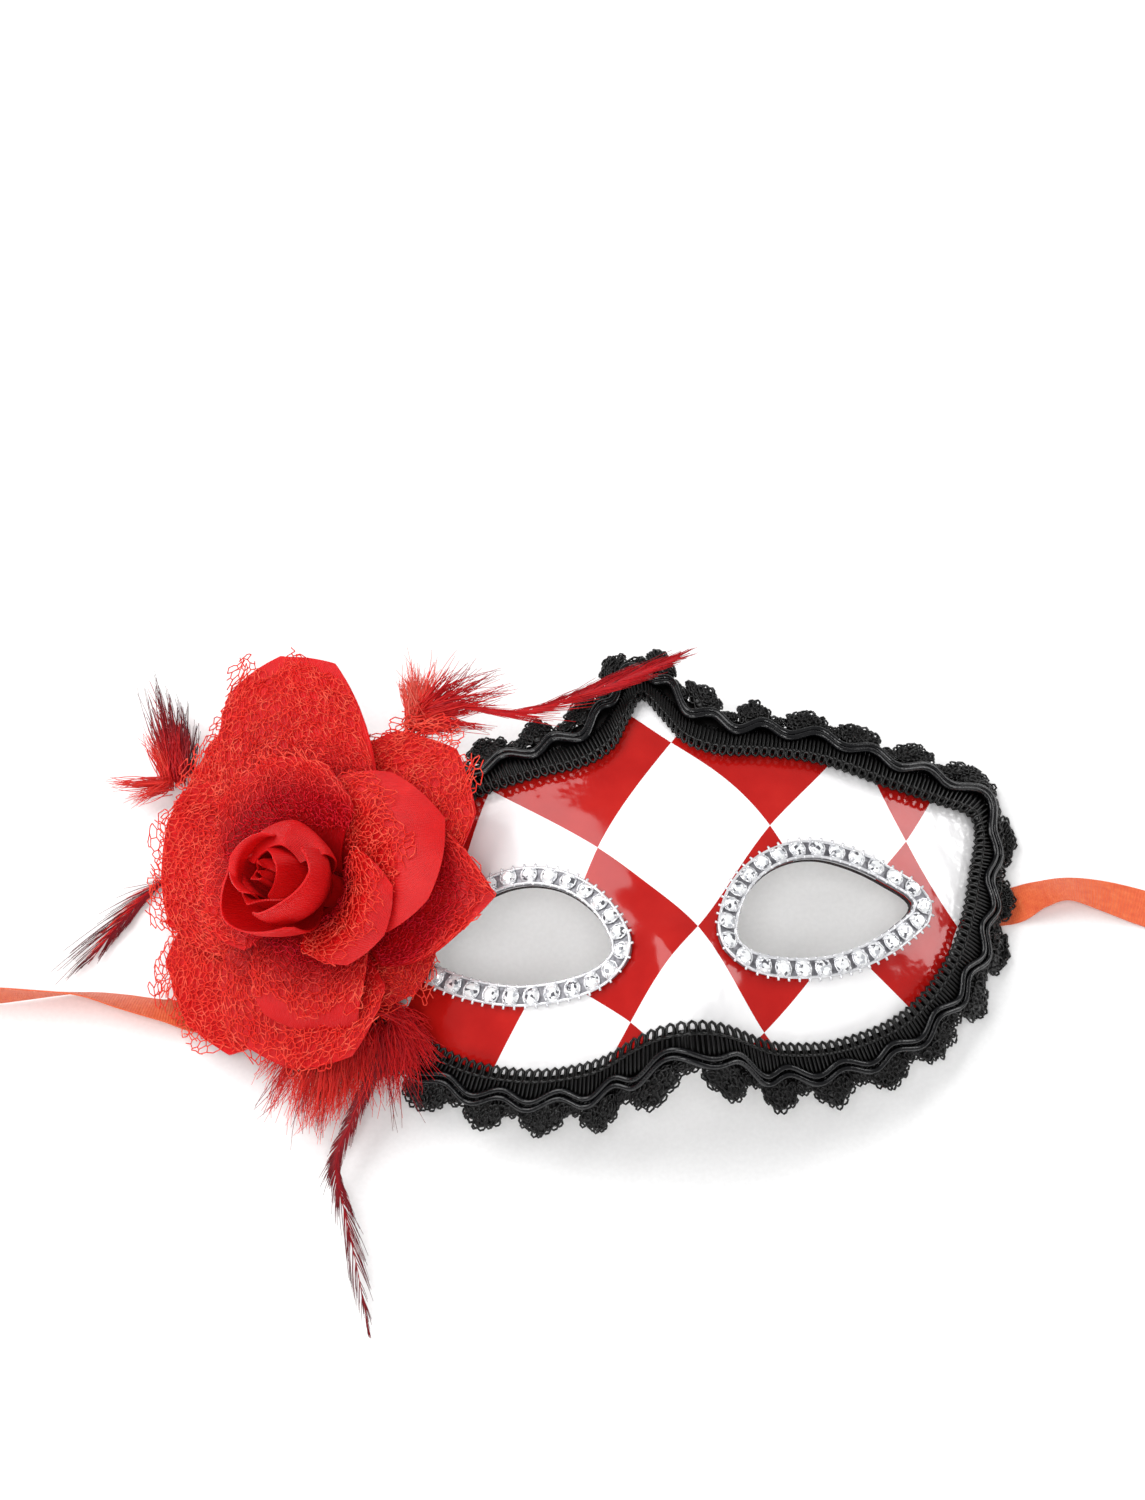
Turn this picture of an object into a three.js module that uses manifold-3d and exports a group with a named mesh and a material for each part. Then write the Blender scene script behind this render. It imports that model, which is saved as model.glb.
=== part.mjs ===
// Masquerade eye mask: a moulded half mask with gimp braid round its edge, a string of cut stones
// round each eye, a cloth rose with feathers on one temple, and two ribbon ties.
// Millimetres. The mask lies face up on z = 0, with +Y towards the brow and +Z out of the face.

import * as THREE from "three";
import { mergeVertices } from "three/addons/utils/BufferGeometryUtils.js";
import Module from "manifold-3d";

const wasm = await Module();
wasm.setup();

// Driving sizes of the face
const CROWN = 40;
const SIDE_FALL = 37;
const SIDE_POWER = 2.3;
const HALF_WIDTH = 84;
const HALF_WIDTH_GAIN = 0.2;
const CHEEK_FALL = 0.0115;
const BROW_FALL = 0.002;
const NOSE_HEIGHT = 14;
const NOSE_WIDTH = 13;
const NOSE_TOP = 16;
const NOSE_LENGTH = 46;
const SHELL_WALL = 1.2;
const SHELL_RINGS = 4;
const MIDLINE_STEPS = 12;

// Driving sizes of the trims
const SEAT_GAP = 0.6;
const SHELL_EDGE = 0.6;
const BRAID_THICKNESS = 1.8;
const BRAID_WAVES = 32;
const BRAID_STEPS = 160;
const LOBE_ROOT = 0.74;
const LOBE_BEND = 0.6;
const DROOP_FROM = 0.7;
const LOBE_DROOP = 9;
const DROOP_BELOW = 10;
const LOBE_ROUND = 0.6;
const SOUTACHE_MIDDLE = 0.47;
const SOUTACHE_SWING = 0.1;
const SOUTACHE_HALF_WIDTH = 1.6;
const SOUTACHE_HEIGHT = 1.4;
const SOUTACHE_GROOVE = 0.5;
const SOUTACHE_RIDGE = 0.9;
const STONE_COUNT = 26;
const STONE_RADIUS = 1.7;
const STONE_TABLE = 1;
const STONE_HEIGHT = 1.3;
const STONE_SIDES = 8;
const STRIP_WIDTH = 4.4;
const STRIP_THICKNESS = 1;
const STRIP_OFFSET = 2.4;
const STRIP_SAMPLES = 56;
const EYE_SAMPLES = 720;

// Driving sizes of the rose, whose axis leans out over the temple
const ROSE_FOOT = new THREE.Vector3(-72, 28, 0);
const ROSE_BASE = new THREE.Vector3(-78, 25, 17.5);
const ROSE_AXIS = new THREE.Vector3(-0.4, -0.19, 0.853).normalize();
const CORE_RADIUS = 4.3;
const CORE_HEIGHT = 27;
const CORE_SIDES = 12;
const QUILL_GAP = 0.5;
const QUILL_WIDTH = 1.4;
const PETAL_ROOT = 5;
const PETAL_WALL = 1;
const PETAL_SPREAD = 40;
const PETAL_SPREAD_GAIN = 1.2;
const PETAL_TAPER_FROM = 0.1;
const PETAL_TAPER_SPAN = 0.7;
const PETAL_ROUND = 0.7;
const PETAL_ACROSS = 6;
const PETAL_ALONG = 5;

// Driving sizes of the feathers' locks
const LOCK_HALF_THICKNESS = 0.7;
const DOWN_ROOT_WIDTH = 2;
const DOWN_MIDDLE_WIDTH = 5;
const DOWN_TIP_WIDTH = 1.2;
const DOWN_BOW = 1;
const DOWN_STEPS = 3;

// Driving sizes of the ribbon ties
const TIE_WIDTH = 10;
const TIE_THICKNESS = 0.8;
const TIE_PASS_FROM = 2;
const TIE_PASS_TO = 22;
const TIE_PASS_HEIGHT = 1.7;

// Edge of the mask from the nose notch round to the peak, as the inner and outer edge of the braid
const EDGE = [
  { place: "nose notch", inX: 0, inY: -29.5, outX: 0, outY: -41 },
  { place: "nose side", inX: 11, inY: -29.5, outX: 12.5, outY: -42.5 },
  { place: "inner cheek", inX: 23, inY: -30.8, outX: 25, outY: -42 },
  { place: "cheek", inX: 37, inY: -29.8, outX: 40.5, outY: -39.2 },
  { place: "outer cheek", inX: 51, inY: -24.8, outX: 56, outY: -33.5 },
  { place: "low temple", inX: 61.5, inY: -17, outX: 69.5, outY: -23.5 },
  { place: "temple", inX: 70.5, inY: -5.5, outX: 80.5, outY: -10.5 },
  { place: "tie", inX: 75.8, inY: 6, outX: 87, outY: 3.5 },
  { place: "high temple", inX: 79.5, inY: 18, outX: 89.3, outY: 18 },
  { place: "corner side", inX: 82.5, inY: 28.5, outX: 91.5, outY: 32 },
  { place: "corner", inX: 81.5, inY: 35, outX: 91.5, outY: 45.5 },
  { place: "corner top", inX: 71.5, inY: 36.5, outX: 78.5, outY: 50.3 },
  { place: "outer brow", inX: 58.5, inY: 39, outX: 64, outY: 52.5 },
  { place: "brow", inX: 43.5, inY: 43.8, outX: 47.5, outY: 57.2 },
  { place: "middle brow", inX: 29, inY: 45.8, outX: 32.5, outY: 60.2 },
  { place: "inner brow", inX: 17, inY: 47, outX: 22.5, outY: 63.5 },
  { place: "peak foot", inX: 9.3, inY: 51.3, outX: 14.5, outY: 69.5 },
  { place: "peak side", inX: 5, inY: 58.5, outX: 9, outY: 78 },
  { place: "peak", inX: 0, inY: 66, outX: 0, outY: 83.5 },
];

// Eye opening on the +X side, anticlockwise from its inner end
const EYE_MIDDLE = { x: 38, y: 2 };
const EYE = [
  { x: 14.9, y: -5.2 },
  { x: 16.6, y: -8.6 },
  { x: 21.5, y: -10.5 },
  { x: 30, y: -11.1 },
  { x: 39, y: -10 },
  { x: 48, y: -6.4 },
  { x: 56.5, y: -0.6 },
  { x: 62.2, y: 6.2 },
  { x: 55.2, y: 10.8 },
  { x: 47, y: 14.2 },
  { x: 38.5, y: 15.9 },
  { x: 30.5, y: 14.6 },
  { x: 23.4, y: 10.4 },
  { x: 18, y: 3.6 },
];

// Petals of the rose: name, angle round the axis, length, half width, height of the root on the core,
// slope of the petal at its root and at its tip in degrees out of the flat, share of the length that its
// corners fall short of its point, and place of that point across it
const PETALS = [
  ["outer_left", 208.5, 50, 23, 2, 40, -12, 0.06, 0],
  ["outer_low_right", -66, 31.5, 20, 2, 40, -12, 0.08, 0.3],
  ["outer_high_right", 35, 46, 23, 2, 40, -12, 0.1, 0],
  ["outer_shoulder", 120, 54, 22, 2, 40, -22, 0.1, 0.2],
  ["outer_high_left", 157, 49, 25, 4.2, 40, -12, 0.08, -0.5],
  ["outer_bottom", -112, 44, 27, 6.4, 40, -12, 0.06, 0],
  ["outer_right", -15, 45, 21, 6.4, 40, -12, 0.22, 0],
  ["outer_top", 92, 60, 22.5, 6.4, 40, -12, 0.08, 0],
  ["middle_left", 164, 32, 25, 10, 68, 12, 0.06, 0],
  ["middle_right", 11, 43, 26, 10, 68, -14, 0.14, 0.1],
  ["middle_bottom", -104, 40, 18, 8.4, 60, -25, 0.08, 0.5],
  ["middle_top", 95, 36, 23, 12.4, 68, 12, 0.06, 0],
  ["middle_low", -42, 31, 17, 14.8, 68, 16, 0.06, 0],
  ["bud_wide", 215, 29, 22, 21, 34, 105, 0.06, 0],
  ["bud_side", 80, 28.5, 20, 23, 44, 106, 0.06, 0],
  ["bud_front", -50, 27.5, 18, 25, 50, 107, 0.06, 0],
  ["bud_heart", 150, 24, 14, 27.2, 60, 108, 0.06, 0],
];

// Feathers glued under the rose: the route of the quill and blade with its width, then the tips of the down
const FEATHERS = [
  {
    name: "feather_tuft_left",
    spine: [
      { x: -101, y: 45, z: 10.5, wide: 1.8 },
      { x: -114, y: 60, z: 6.8, wide: 5 },
      { x: -121, y: 78, z: 7.5, wide: 8 },
      { x: -127, y: 97, z: 8.5, wide: 2 },
    ],
    downFrom: 1,
    down: [
      { x: -118, y: 92, z: 8.5 },
      { x: -133, y: 90, z: 6 },
      { x: -136.5, y: 79, z: 4.5 },
      { x: -135, y: 68, z: 3.5 },
    ],
  },
  {
    name: "hackle_left",
    spine: [
      { x: -108, y: 37, z: 4.6, wide: 1.8 },
      { x: -124, y: 43, z: 1.6, wide: 5 },
      { x: -137, y: 33.5, z: 1.5, wide: 8 },
      { x: -148, y: 20.5, z: 1.5, wide: 1.5 },
    ],
    downFrom: 1,
    down: [{ x: -139, y: 47, z: 1.6 }],
  },
  {
    name: "feather_tuft_top",
    spine: [
      { x: -66, y: 50, z: 29, wide: 1.8 },
      { x: -55.5, y: 67, z: 36, wide: 4.5 },
      { x: -32, y: 62.5, z: 38.5, wide: 6 },
      { x: -10.5, y: 67, z: 39, wide: 8.5 },
      { x: 13.5, y: 75.5, z: 37.5, wide: 2 },
    ],
    downFrom: 1,
    down: [
      { x: -60, y: 80, z: 36 },
      { x: -50, y: 81, z: 37 },
      { x: -43, y: 77, z: 38 },
      { x: -39, y: 70, z: 38 },
    ],
  },
  {
    name: "feather_tuft_bottom",
    spine: [
      { x: -77.5, y: 2, z: 18, wide: 1.8 },
      { x: -76, y: -16, z: 17.5, wide: 5 },
      { x: -84, y: -34, z: 13, wide: 5 },
      { x: -87, y: -62, z: 8, wide: 5 },
      { x: -84.4, y: -87, z: 5, wide: 2 },
    ],
    downFrom: 1,
    down: [
      { x: -98, y: -19, z: 12 },
      { x: -97, y: -31, z: 11 },
      { x: -79, y: -42, z: 13 },
      { x: -69, y: -38, z: 15 },
      { x: -61.5, y: -29, z: 19 },
      { x: -61, y: -19, z: 22 },
    ],
  },
];

// Routes of the two ribbon ties from inside the temples to their plain ends, with the turn of the ribbon
const TIES = [
  {
    name: "ribbon_right",
    route: [
      { x: 74.2, y: 12, z: 9.9, turn: 0 },
      { x: 78.4, y: 12, z: 6.2, turn: 0 },
      { x: 82, y: 12, z: 2.7, turn: 0 },
      { x: 86, y: 12, z: 0.9, turn: 0 },
      { x: 92, y: 12.4, z: 0.6, turn: -2 },
      { x: 98.5, y: 13.8, z: 2.6, turn: -25 },
      { x: 105.7, y: 14.4, z: 3.3, turn: -32 },
      { x: 114.7, y: 12.1, z: 2, turn: -17 },
      { x: 124.6, y: 8.2, z: 0.7, turn: -2 },
      { x: 132, y: 5, z: 0.5, turn: 0 },
    ],
  },
  {
    name: "ribbon_left",
    route: [
      { x: -74.2, y: 12, z: 9.9, turn: 0 },
      { x: -78.4, y: 12, z: 6.2, turn: 0 },
      { x: -82, y: 11.8, z: 2.7, turn: 0 },
      { x: -86, y: 11.2, z: 0.9, turn: 0 },
      { x: -95, y: 8.6, z: 0.6, turn: 0 },
      { x: -107, y: 4.6, z: 0.9, turn: -5 },
      { x: -119, y: 2.8, z: 1.5, turn: -12 },
      { x: -129, y: 4.8, z: 3.5, turn: -36 },
      { x: -139.5, y: 8.1, z: 4.2, turn: -48 },
      { x: -150, y: 11, z: 5, turn: -64 },
      { x: -162.6, y: 12, z: 5.5, turn: -80 },
      { x: -171, y: 12.6, z: 5.5, turn: -90 },
      { x: -177, y: 13, z: 5.5, turn: -95 },
    ],
  },
];

const MATERIALS = {
  face: new THREE.MeshStandardMaterial({ color: 0xc9201c, roughness: 0.3, metalness: 0 }),
  braid: new THREE.MeshStandardMaterial({ color: 0x17161a, roughness: 0.8, metalness: 0 }),
  cord: new THREE.MeshStandardMaterial({ color: 0x222026, roughness: 0.6, metalness: 0 }),
  stones: new THREE.MeshStandardMaterial({ color: 0xd4d6da, roughness: 0.15, metalness: 0.6 }),
  rose: new THREE.MeshStandardMaterial({ color: 0xd0181b, roughness: 0.75, metalness: 0 }),
  feather: new THREE.MeshStandardMaterial({ color: 0x7a0d18, roughness: 0.9, metalness: 0 }),
  ribbon: new THREE.MeshStandardMaterial({ color: 0xe5502f, roughness: 0.55, metalness: 0 }),
};

const UP = new THREE.Vector3(0, 0, 1);

// Turns every face of a closed body outwards
function outward(geometry) {
  const at = geometry.attributes.position;
  const corner = [new THREE.Vector3(), new THREE.Vector3(), new THREE.Vector3()];
  const index = Array.from(geometry.index.array);
  let volume = 0;
  for (let face = 0; face < index.length; face += 3) {
    corner.forEach((point, which) => point.fromBufferAttribute(at, index[face + which]));
    volume += corner[0].dot(corner[1].clone().cross(corner[2]));
  }
  if (volume < 0) {
    geometry.setIndex(index.reverse());
  }
  return geometry;
}

// Closed body from a list of four-cornered patches
function patchBody(patches) {
  const corners = patches.flatMap(([a, b, c, d]) => [a, b, c, a, c, d]);
  const positions = corners.flatMap((point) => point.toArray());
  const geometry = new THREE.BufferGeometry();
  geometry.setAttribute("position", new THREE.Float32BufferAttribute(positions, 3));
  return outward(mergeVertices(geometry, 1e-4));
}

// Closed body through matching rings of points, joined end to end or finished with a cap at each end
function loft(rings, joined) {
  const patches = [];
  const size = rings[0].length;
  const steps = joined ? rings.length : rings.length - 1;
  for (let step = 0; step < steps; step += 1) {
    const here = rings[step];
    const next = rings[(step + 1) % rings.length];
    for (let side = 0; side < size; side += 1) {
      const turn = (side + 1) % size;
      patches.push([here[side], here[turn], next[turn], next[side]]);
    }
  }
  if (!joined) {
    const first = rings[0];
    const last = rings[rings.length - 1];
    for (let side = 0; side < size / 2 - 1; side += 1) {
      const far = size - 1 - side;
      patches.push([first[far], first[far - 1], first[side + 1], first[side]]);
      patches.push([last[side], last[side + 1], last[far - 1], last[far]]);
    }
  }
  return patchBody(patches);
}

// One body made of several that run into each other
function fuse(geometries) {
  const bodies = geometries.map((geometry) => {
    const mesh = new wasm.Mesh({
      numProp: 3,
      vertProperties: new Float32Array(geometry.attributes.position.array),
      triVerts: new Uint32Array(geometry.index.array),
    });
    return new wasm.Manifold(mesh);
  });
  const whole = bodies.reduce((sum, body) => sum.add(body)).getMesh();
  const fused = new THREE.BufferGeometry();
  const positions = new THREE.BufferAttribute(new Float32Array(whole.vertProperties), whole.numProp);
  fused.setAttribute("position", positions);
  fused.setIndex(new THREE.BufferAttribute(new Uint32Array(whole.triVerts), 1));
  return fused;
}

function piece(name, geometry, material) {
  geometry.computeVertexNormals();
  const mesh = new THREE.Mesh(geometry, material);
  mesh.name = name;
  return mesh;
}

// Height of the outer face of the shell
function faceHeight(x, y) {
  const reach = HALF_WIDTH + HALF_WIDTH_GAIN * y;
  const fall = y > 0 ? BROW_FALL : CHEEK_FALL;
  const down = THREE.MathUtils.smoothstep(NOSE_TOP - y, 0, NOSE_LENGTH);
  const nose = NOSE_HEIGHT * down * Math.exp(-((x / NOSE_WIDTH) ** 2));
  return CROWN - SIDE_FALL * (Math.abs(x) / reach) ** SIDE_POWER - fall * y * y + nose;
}

function faceNormal(x, y) {
  const near = 0.05;
  const slopeX = (faceHeight(x + near, y) - faceHeight(x - near, y)) / (2 * near);
  const slopeY = (faceHeight(x, y + near) - faceHeight(x, y - near)) / (2 * near);
  return new THREE.Vector3(-slopeX, -slopeY, 1).normalize();
}

function facePoint(x, y, lift) {
  return new THREE.Vector3(x, y, faceHeight(x, y)).addScaledVector(faceNormal(x, y), lift);
}

// Smooth curve through a table of rows with x, y and, where it isn't flat, z
function curveThrough(rows, closed) {
  const points = rows.map((row) => new THREE.Vector3(row.x, row.y, row.z ?? 0));
  return new THREE.CatmullRomCurve3(points, closed, "catmullrom");
}

// Closed curve round the whole mask from two named columns of the edge table
function edgeCurve(columnX, columnY) {
  const half = EDGE.map((row) => ({ x: row[columnX], y: row[columnY] }));
  const mirrored = half.slice(1, -1).reverse().map(({ x, y }) => ({ x: -x, y }));
  return curveThrough([...half, ...mirrored], true);
}

const innerEdge = edgeCurve("inX", "inY");
const outerEdge = edgeCurve("outX", "outY");
innerEdge.arcLengthDivisions = 800;

// Point on the plan of the braid: along from 0 to 1 round the mask, across from 0 inside to 1 outside
function bandPlan(along, across) {
  const turn = innerEdge.getUtoTmapping(along);
  return innerEdge.getPoint(turn).lerp(outerEdge.getPoint(turn), across);
}

// Point of a trim over the band, which follows the face until it meets the table
function bandPoint(along, across, lift) {
  const plan = bandPlan(along, across);
  const point = facePoint(plan.x, plan.y, lift);
  const near = THREE.MathUtils.clamp((DROOP_BELOW - point.z) / DROOP_BELOW, 0, 1);
  point.z -= (LOBE_DROOP * near * Math.max(across - DROOP_FROM, 0)) / (1 - DROOP_FROM);
  const passing = point.y > TIE_PASS_FROM && point.y < TIE_PASS_TO;
  const table = passing ? TIE_PASS_HEIGHT : 0;
  point.z = Math.max(point.z, table + lift - SEAT_GAP);
  return point;
}

// Shell: a moulded half mask, gridded from each eye opening out to the edge and the middle line
function shellGeometry() {
  const halfSteps = BRAID_STEPS / 4;
  const eyeCurve = curveThrough(EYE, true);
  const bearing = (point) => Math.atan2(point.y - EYE_MIDDLE.y, point.x - EYE_MIDDLE.x);
  const eyeSamples = eyeCurve.getPoints(EYE_SAMPLES);
  const eyeTowards = (target) => {
    const wanted = bearing(target);
    const apart = (point) => {
      const off = bearing(point) - wanted;
      return Math.abs(Math.atan2(Math.sin(off), Math.cos(off)));
    };
    return eyeSamples.reduce((best, point) => (apart(point) < apart(best) ? point : best));
  };
  const rim = [];
  for (let step = 0; step <= halfSteps; step += 1) {
    rim.push(bandPlan(step / halfSteps / 2, SHELL_EDGE));
  }
  const notch = rim[0];
  const peak = rim[halfSteps];
  for (let step = 1; step < MIDLINE_STEPS; step += 1) {
    rim.push(peak.clone().lerp(notch, step / MIDLINE_STEPS));
  }
  const patches = [];
  for (const side of [1, -1]) {
    const add = (a, b, c, d) => patches.push(side > 0 ? [a, b, c, d] : [d, c, b, a]);
    const grid = (lift) =>
      rim.map((outer) => {
        const inner = eyeTowards(outer);
        const column = [];
        for (let ring = 0; ring <= SHELL_RINGS; ring += 1) {
          const plan = inner.clone().lerp(outer, ring / SHELL_RINGS);
          column.push(facePoint(side * plan.x, plan.y, lift));
        }
        return column;
      });
    const front = grid(0);
    const back = grid(-SHELL_WALL);
    rim.forEach((outer, here) => {
      const next = (here + 1) % rim.length;
      for (let ring = 0; ring < SHELL_RINGS; ring += 1) {
        add(front[here][ring], front[here][ring + 1], front[next][ring + 1], front[next][ring]);
        add(back[next][ring], back[next][ring + 1], back[here][ring + 1], back[here][ring]);
      }
      add(front[next][0], back[next][0], back[here][0], front[here][0]);
      if (here < halfSteps) {
        const end = SHELL_RINGS;
        add(front[here][end], back[here][end], back[next][end], front[next][end]);
      }
    });
  }
  return patchBody(patches);
}

// Gimp braid: a woven band with a row of crocheted lobes along its outer side
function braidGeometry() {
  const rings = [];
  for (let step = 0; step < BRAID_STEPS; step += 1) {
    const along = step / BRAID_STEPS;
    const phase = (along * BRAID_WAVES) % 1;
    const tip = LOBE_ROOT + (1 - LOBE_ROOT) * Math.sin(Math.PI * phase) ** LOBE_ROUND;
    const bend = THREE.MathUtils.lerp(SHELL_EDGE, tip, LOBE_BEND);
    const top = [0, SHELL_EDGE, tip].map((across) => bandPoint(along, across, SEAT_GAP + BRAID_THICKNESS));
    const under = [tip, bend, SHELL_EDGE, 0].map((across) => bandPoint(along, across, SEAT_GAP));
    rings.push([...top, ...under]);
  }
  return loft(rings, true);
}

// Soutache: a flat double cord laid along the band in a wave
function soutacheGeometry() {
  const rings = [];
  const seat = SEAT_GAP + BRAID_THICKNESS + SEAT_GAP;
  const profile = [
    { out: -SOUTACHE_HALF_WIDTH, up: seat },
    { out: SOUTACHE_HALF_WIDTH, up: seat },
    { out: SOUTACHE_RIDGE, up: seat + SOUTACHE_HEIGHT },
    { out: 0, up: seat + SOUTACHE_HEIGHT - SOUTACHE_GROOVE },
    { out: -SOUTACHE_RIDGE, up: seat + SOUTACHE_HEIGHT },
  ];
  for (let step = 0; step < BRAID_STEPS; step += 1) {
    const along = step / BRAID_STEPS;
    const middle = SOUTACHE_MIDDLE + SOUTACHE_SWING * Math.sin(2 * Math.PI * along * BRAID_WAVES);
    const width = bandPlan(along, 0).distanceTo(bandPlan(along, 1));
    rings.push(profile.map(({ out, up }) => bandPoint(along, middle + out / width, up)));
  }
  return loft(rings, true);
}

// String of cut stones in a flat setting, one closed ring round an eye
function eyeTrimGeometry(side) {
  const eyeCurve = curveThrough(EYE, true);
  const offsetPoints = [];
  for (let step = 0; step < STRIP_SAMPLES; step += 1) {
    const tangent = eyeCurve.getTangentAt(step / STRIP_SAMPLES);
    const outside = new THREE.Vector3(tangent.y, -tangent.x, 0);
    offsetPoints.push(eyeCurve.getPointAt(step / STRIP_SAMPLES).addScaledVector(outside, STRIP_OFFSET));
  }
  const middle = new THREE.CatmullRomCurve3(offsetPoints, true, "catmullrom");
  const pitch = 1 / STONE_COUNT;
  const length = middle.getLength();
  const stripPoint = (along, across, lift) => {
    const turn = ((along % 1) + 1) % 1;
    const tangent = middle.getTangentAt(turn);
    const outside = new THREE.Vector3(tangent.y, -tangent.x, 0);
    const plan = middle.getPointAt(turn).addScaledVector(outside, across);
    return facePoint(side * plan.x, plan.y, lift);
  };
  const top = SEAT_GAP + STRIP_THICKNESS;
  const half = STRIP_WIDTH / 2;
  const patches = [];
  for (let stone = 0; stone < STONE_COUNT; stone += 1) {
    const from = stone * pitch;
    const to = ((stone + 1) % STONE_COUNT) * pitch;
    const centre = from + pitch / 2;
    const corners = [
      stripPoint(to, half, top),
      stripPoint(from, half, top),
      stripPoint(from, -half, top),
      stripPoint(to, -half, top),
    ];
    const ringAt = (radius, lift) => {
      const ring = [];
      for (let cut = 0; cut < STONE_SIDES; cut += 1) {
        const angle = ((cut + 0.5) * 2 * Math.PI) / STONE_SIDES;
        ring.push(stripPoint(centre + (radius * Math.cos(angle)) / length, radius * Math.sin(angle), lift));
      }
      return ring;
    };
    const girdle = ringAt(STONE_RADIUS, top);
    const table = ringAt(STONE_TABLE, top + STONE_HEIGHT);
    for (let quarter = 0; quarter < 4; quarter += 1) {
      const first = quarter * 2;
      const corner = corners[quarter];
      const before = girdle[first];
      const after = girdle[first + 1];
      const past = girdle[(first + 2) % STONE_SIDES];
      patches.push([corner, before, after, after]);
      patches.push([corner, after, past, corners[(quarter + 1) % 4]]);
    }
    for (let cut = 0; cut < STONE_SIDES; cut += 1) {
      const next = (cut + 1) % STONE_SIDES;
      patches.push([girdle[next], girdle[cut], table[cut], table[next]]);
    }
    for (let cut = 0; cut < STONE_SIDES / 2 - 1; cut += 1) {
      const far = STONE_SIDES - 1 - cut;
      patches.push([table[far], table[far - 1], table[cut + 1], table[cut]]);
    }
    const under = [
      stripPoint(to, half, SEAT_GAP),
      stripPoint(from, half, SEAT_GAP),
      stripPoint(from, -half, SEAT_GAP),
      stripPoint(to, -half, SEAT_GAP),
    ];
    patches.push([corners[0], corners[1], under[1], under[0]]);
    patches.push([corners[2], corners[3], under[3], under[2]]);
    patches.push(under);
  }
  return patchBody(patches);
}

// Petal in the frame of the rose, bent along an arc from its root to its tip
function petalGeometry([angle, length, half, root, slope, tip, point, lean]) {
  const spread = THREE.MathUtils.degToRad(PETAL_SPREAD + PETAL_SPREAD_GAIN * root);
  const start = THREE.MathUtils.degToRad(slope);
  const bend = THREE.MathUtils.degToRad(tip) - start;
  const onPetal = (across, along, lift) => {
    const reach = along * (1 - point * Math.abs(across - lean) * along);
    const now = start + bend * reach;
    const radius = PETAL_ROOT + (length * (Math.sin(now) - Math.sin(start))) / bend;
    const height = root - (length * (Math.cos(now) - Math.cos(start))) / bend;
    const taper = Math.sin(Math.PI * (PETAL_TAPER_FROM + PETAL_TAPER_SPAN * along)) ** PETAL_ROUND;
    const turn = THREE.MathUtils.degToRad(angle) + across * Math.min((half * taper) / radius, spread);
    const out = radius - lift * Math.sin(now);
    return new THREE.Vector3(out * Math.cos(turn), out * Math.sin(turn), height + lift * Math.cos(now));
  };
  const rings = [];
  for (let row = 0; row <= PETAL_ALONG; row += 1) {
    const ring = [];
    for (let column = 0; column <= PETAL_ACROSS; column += 1) {
      ring.push(onPetal((2 * column) / PETAL_ACROSS - 1, row / PETAL_ALONG, PETAL_WALL / 2));
    }
    for (let column = PETAL_ACROSS; column >= 0; column -= 1) {
      ring.push(onPetal((2 * column) / PETAL_ACROSS - 1, row / PETAL_ALONG, -PETAL_WALL / 2));
    }
    rings.push(ring);
  }
  return loft(rings, false);
}

// Core of the rose: a stub from the shell up the middle of the petals
function coreGeometry() {
  const foot = facePoint(ROSE_FOOT.x, ROSE_FOOT.y, SEAT_GAP);
  const footNormal = faceNormal(ROSE_FOOT.x, ROSE_FOOT.y);
  const stations = [
    { at: foot, facing: footNormal },
    { at: ROSE_BASE, facing: ROSE_AXIS },
    { at: ROSE_BASE.clone().addScaledVector(ROSE_AXIS, CORE_HEIGHT), facing: ROSE_AXIS },
  ];
  const rings = stations.map(({ at, facing }) => {
    const turn = new THREE.Quaternion().setFromUnitVectors(UP, facing);
    const ring = [];
    for (let side = 0; side < CORE_SIDES; side += 1) {
      const angle = (2 * Math.PI * side) / CORE_SIDES;
      const spoke = new THREE.Vector3(Math.cos(angle), Math.sin(angle), 0).multiplyScalar(CORE_RADIUS);
      ring.push(spoke.applyQuaternion(turn).add(at));
    }
    return ring;
  });
  return loft(rings, false);
}

// Flat lock of barbs along a route of points, diamond in section
function lockGeometry(route, steps) {
  const spine = curveThrough(route, false);
  const rings = [];
  for (let step = 0; step <= steps; step += 1) {
    const turn = step / steps;
    const place = turn * (route.length - 1);
    const row = Math.min(Math.floor(place), route.length - 2);
    const wide = THREE.MathUtils.lerp(route[row].wide, route[row + 1].wide, place - row) / 2;
    const thick = Math.min(wide, LOCK_HALF_THICKNESS);
    const tangent = spine.getTangent(turn);
    const side = new THREE.Vector3().crossVectors(tangent, UP).normalize();
    const lift = new THREE.Vector3().crossVectors(side, tangent);
    const at = spine.getPoint(turn);
    rings.push([
      at.clone().addScaledVector(side, wide),
      at.clone().addScaledVector(lift, thick),
      at.clone().addScaledVector(side, -wide),
      at.clone().addScaledVector(lift, -thick),
    ]);
  }
  return loft(rings, false);
}

// End of a quill beside the core of the rose, on the side of its next point
function quillRoot(next) {
  const towards = new THREE.Vector3(next.x, next.y, next.z).sub(ROSE_BASE);
  const away = towards.projectOnPlane(ROSE_AXIS).normalize();
  const root = ROSE_BASE.clone().addScaledVector(ROSE_AXIS, QUILL_GAP);
  root.addScaledVector(away, CORE_RADIUS + QUILL_GAP);
  return { x: root.x, y: root.y, z: root.z, wide: QUILL_WIDTH };
}

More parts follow.
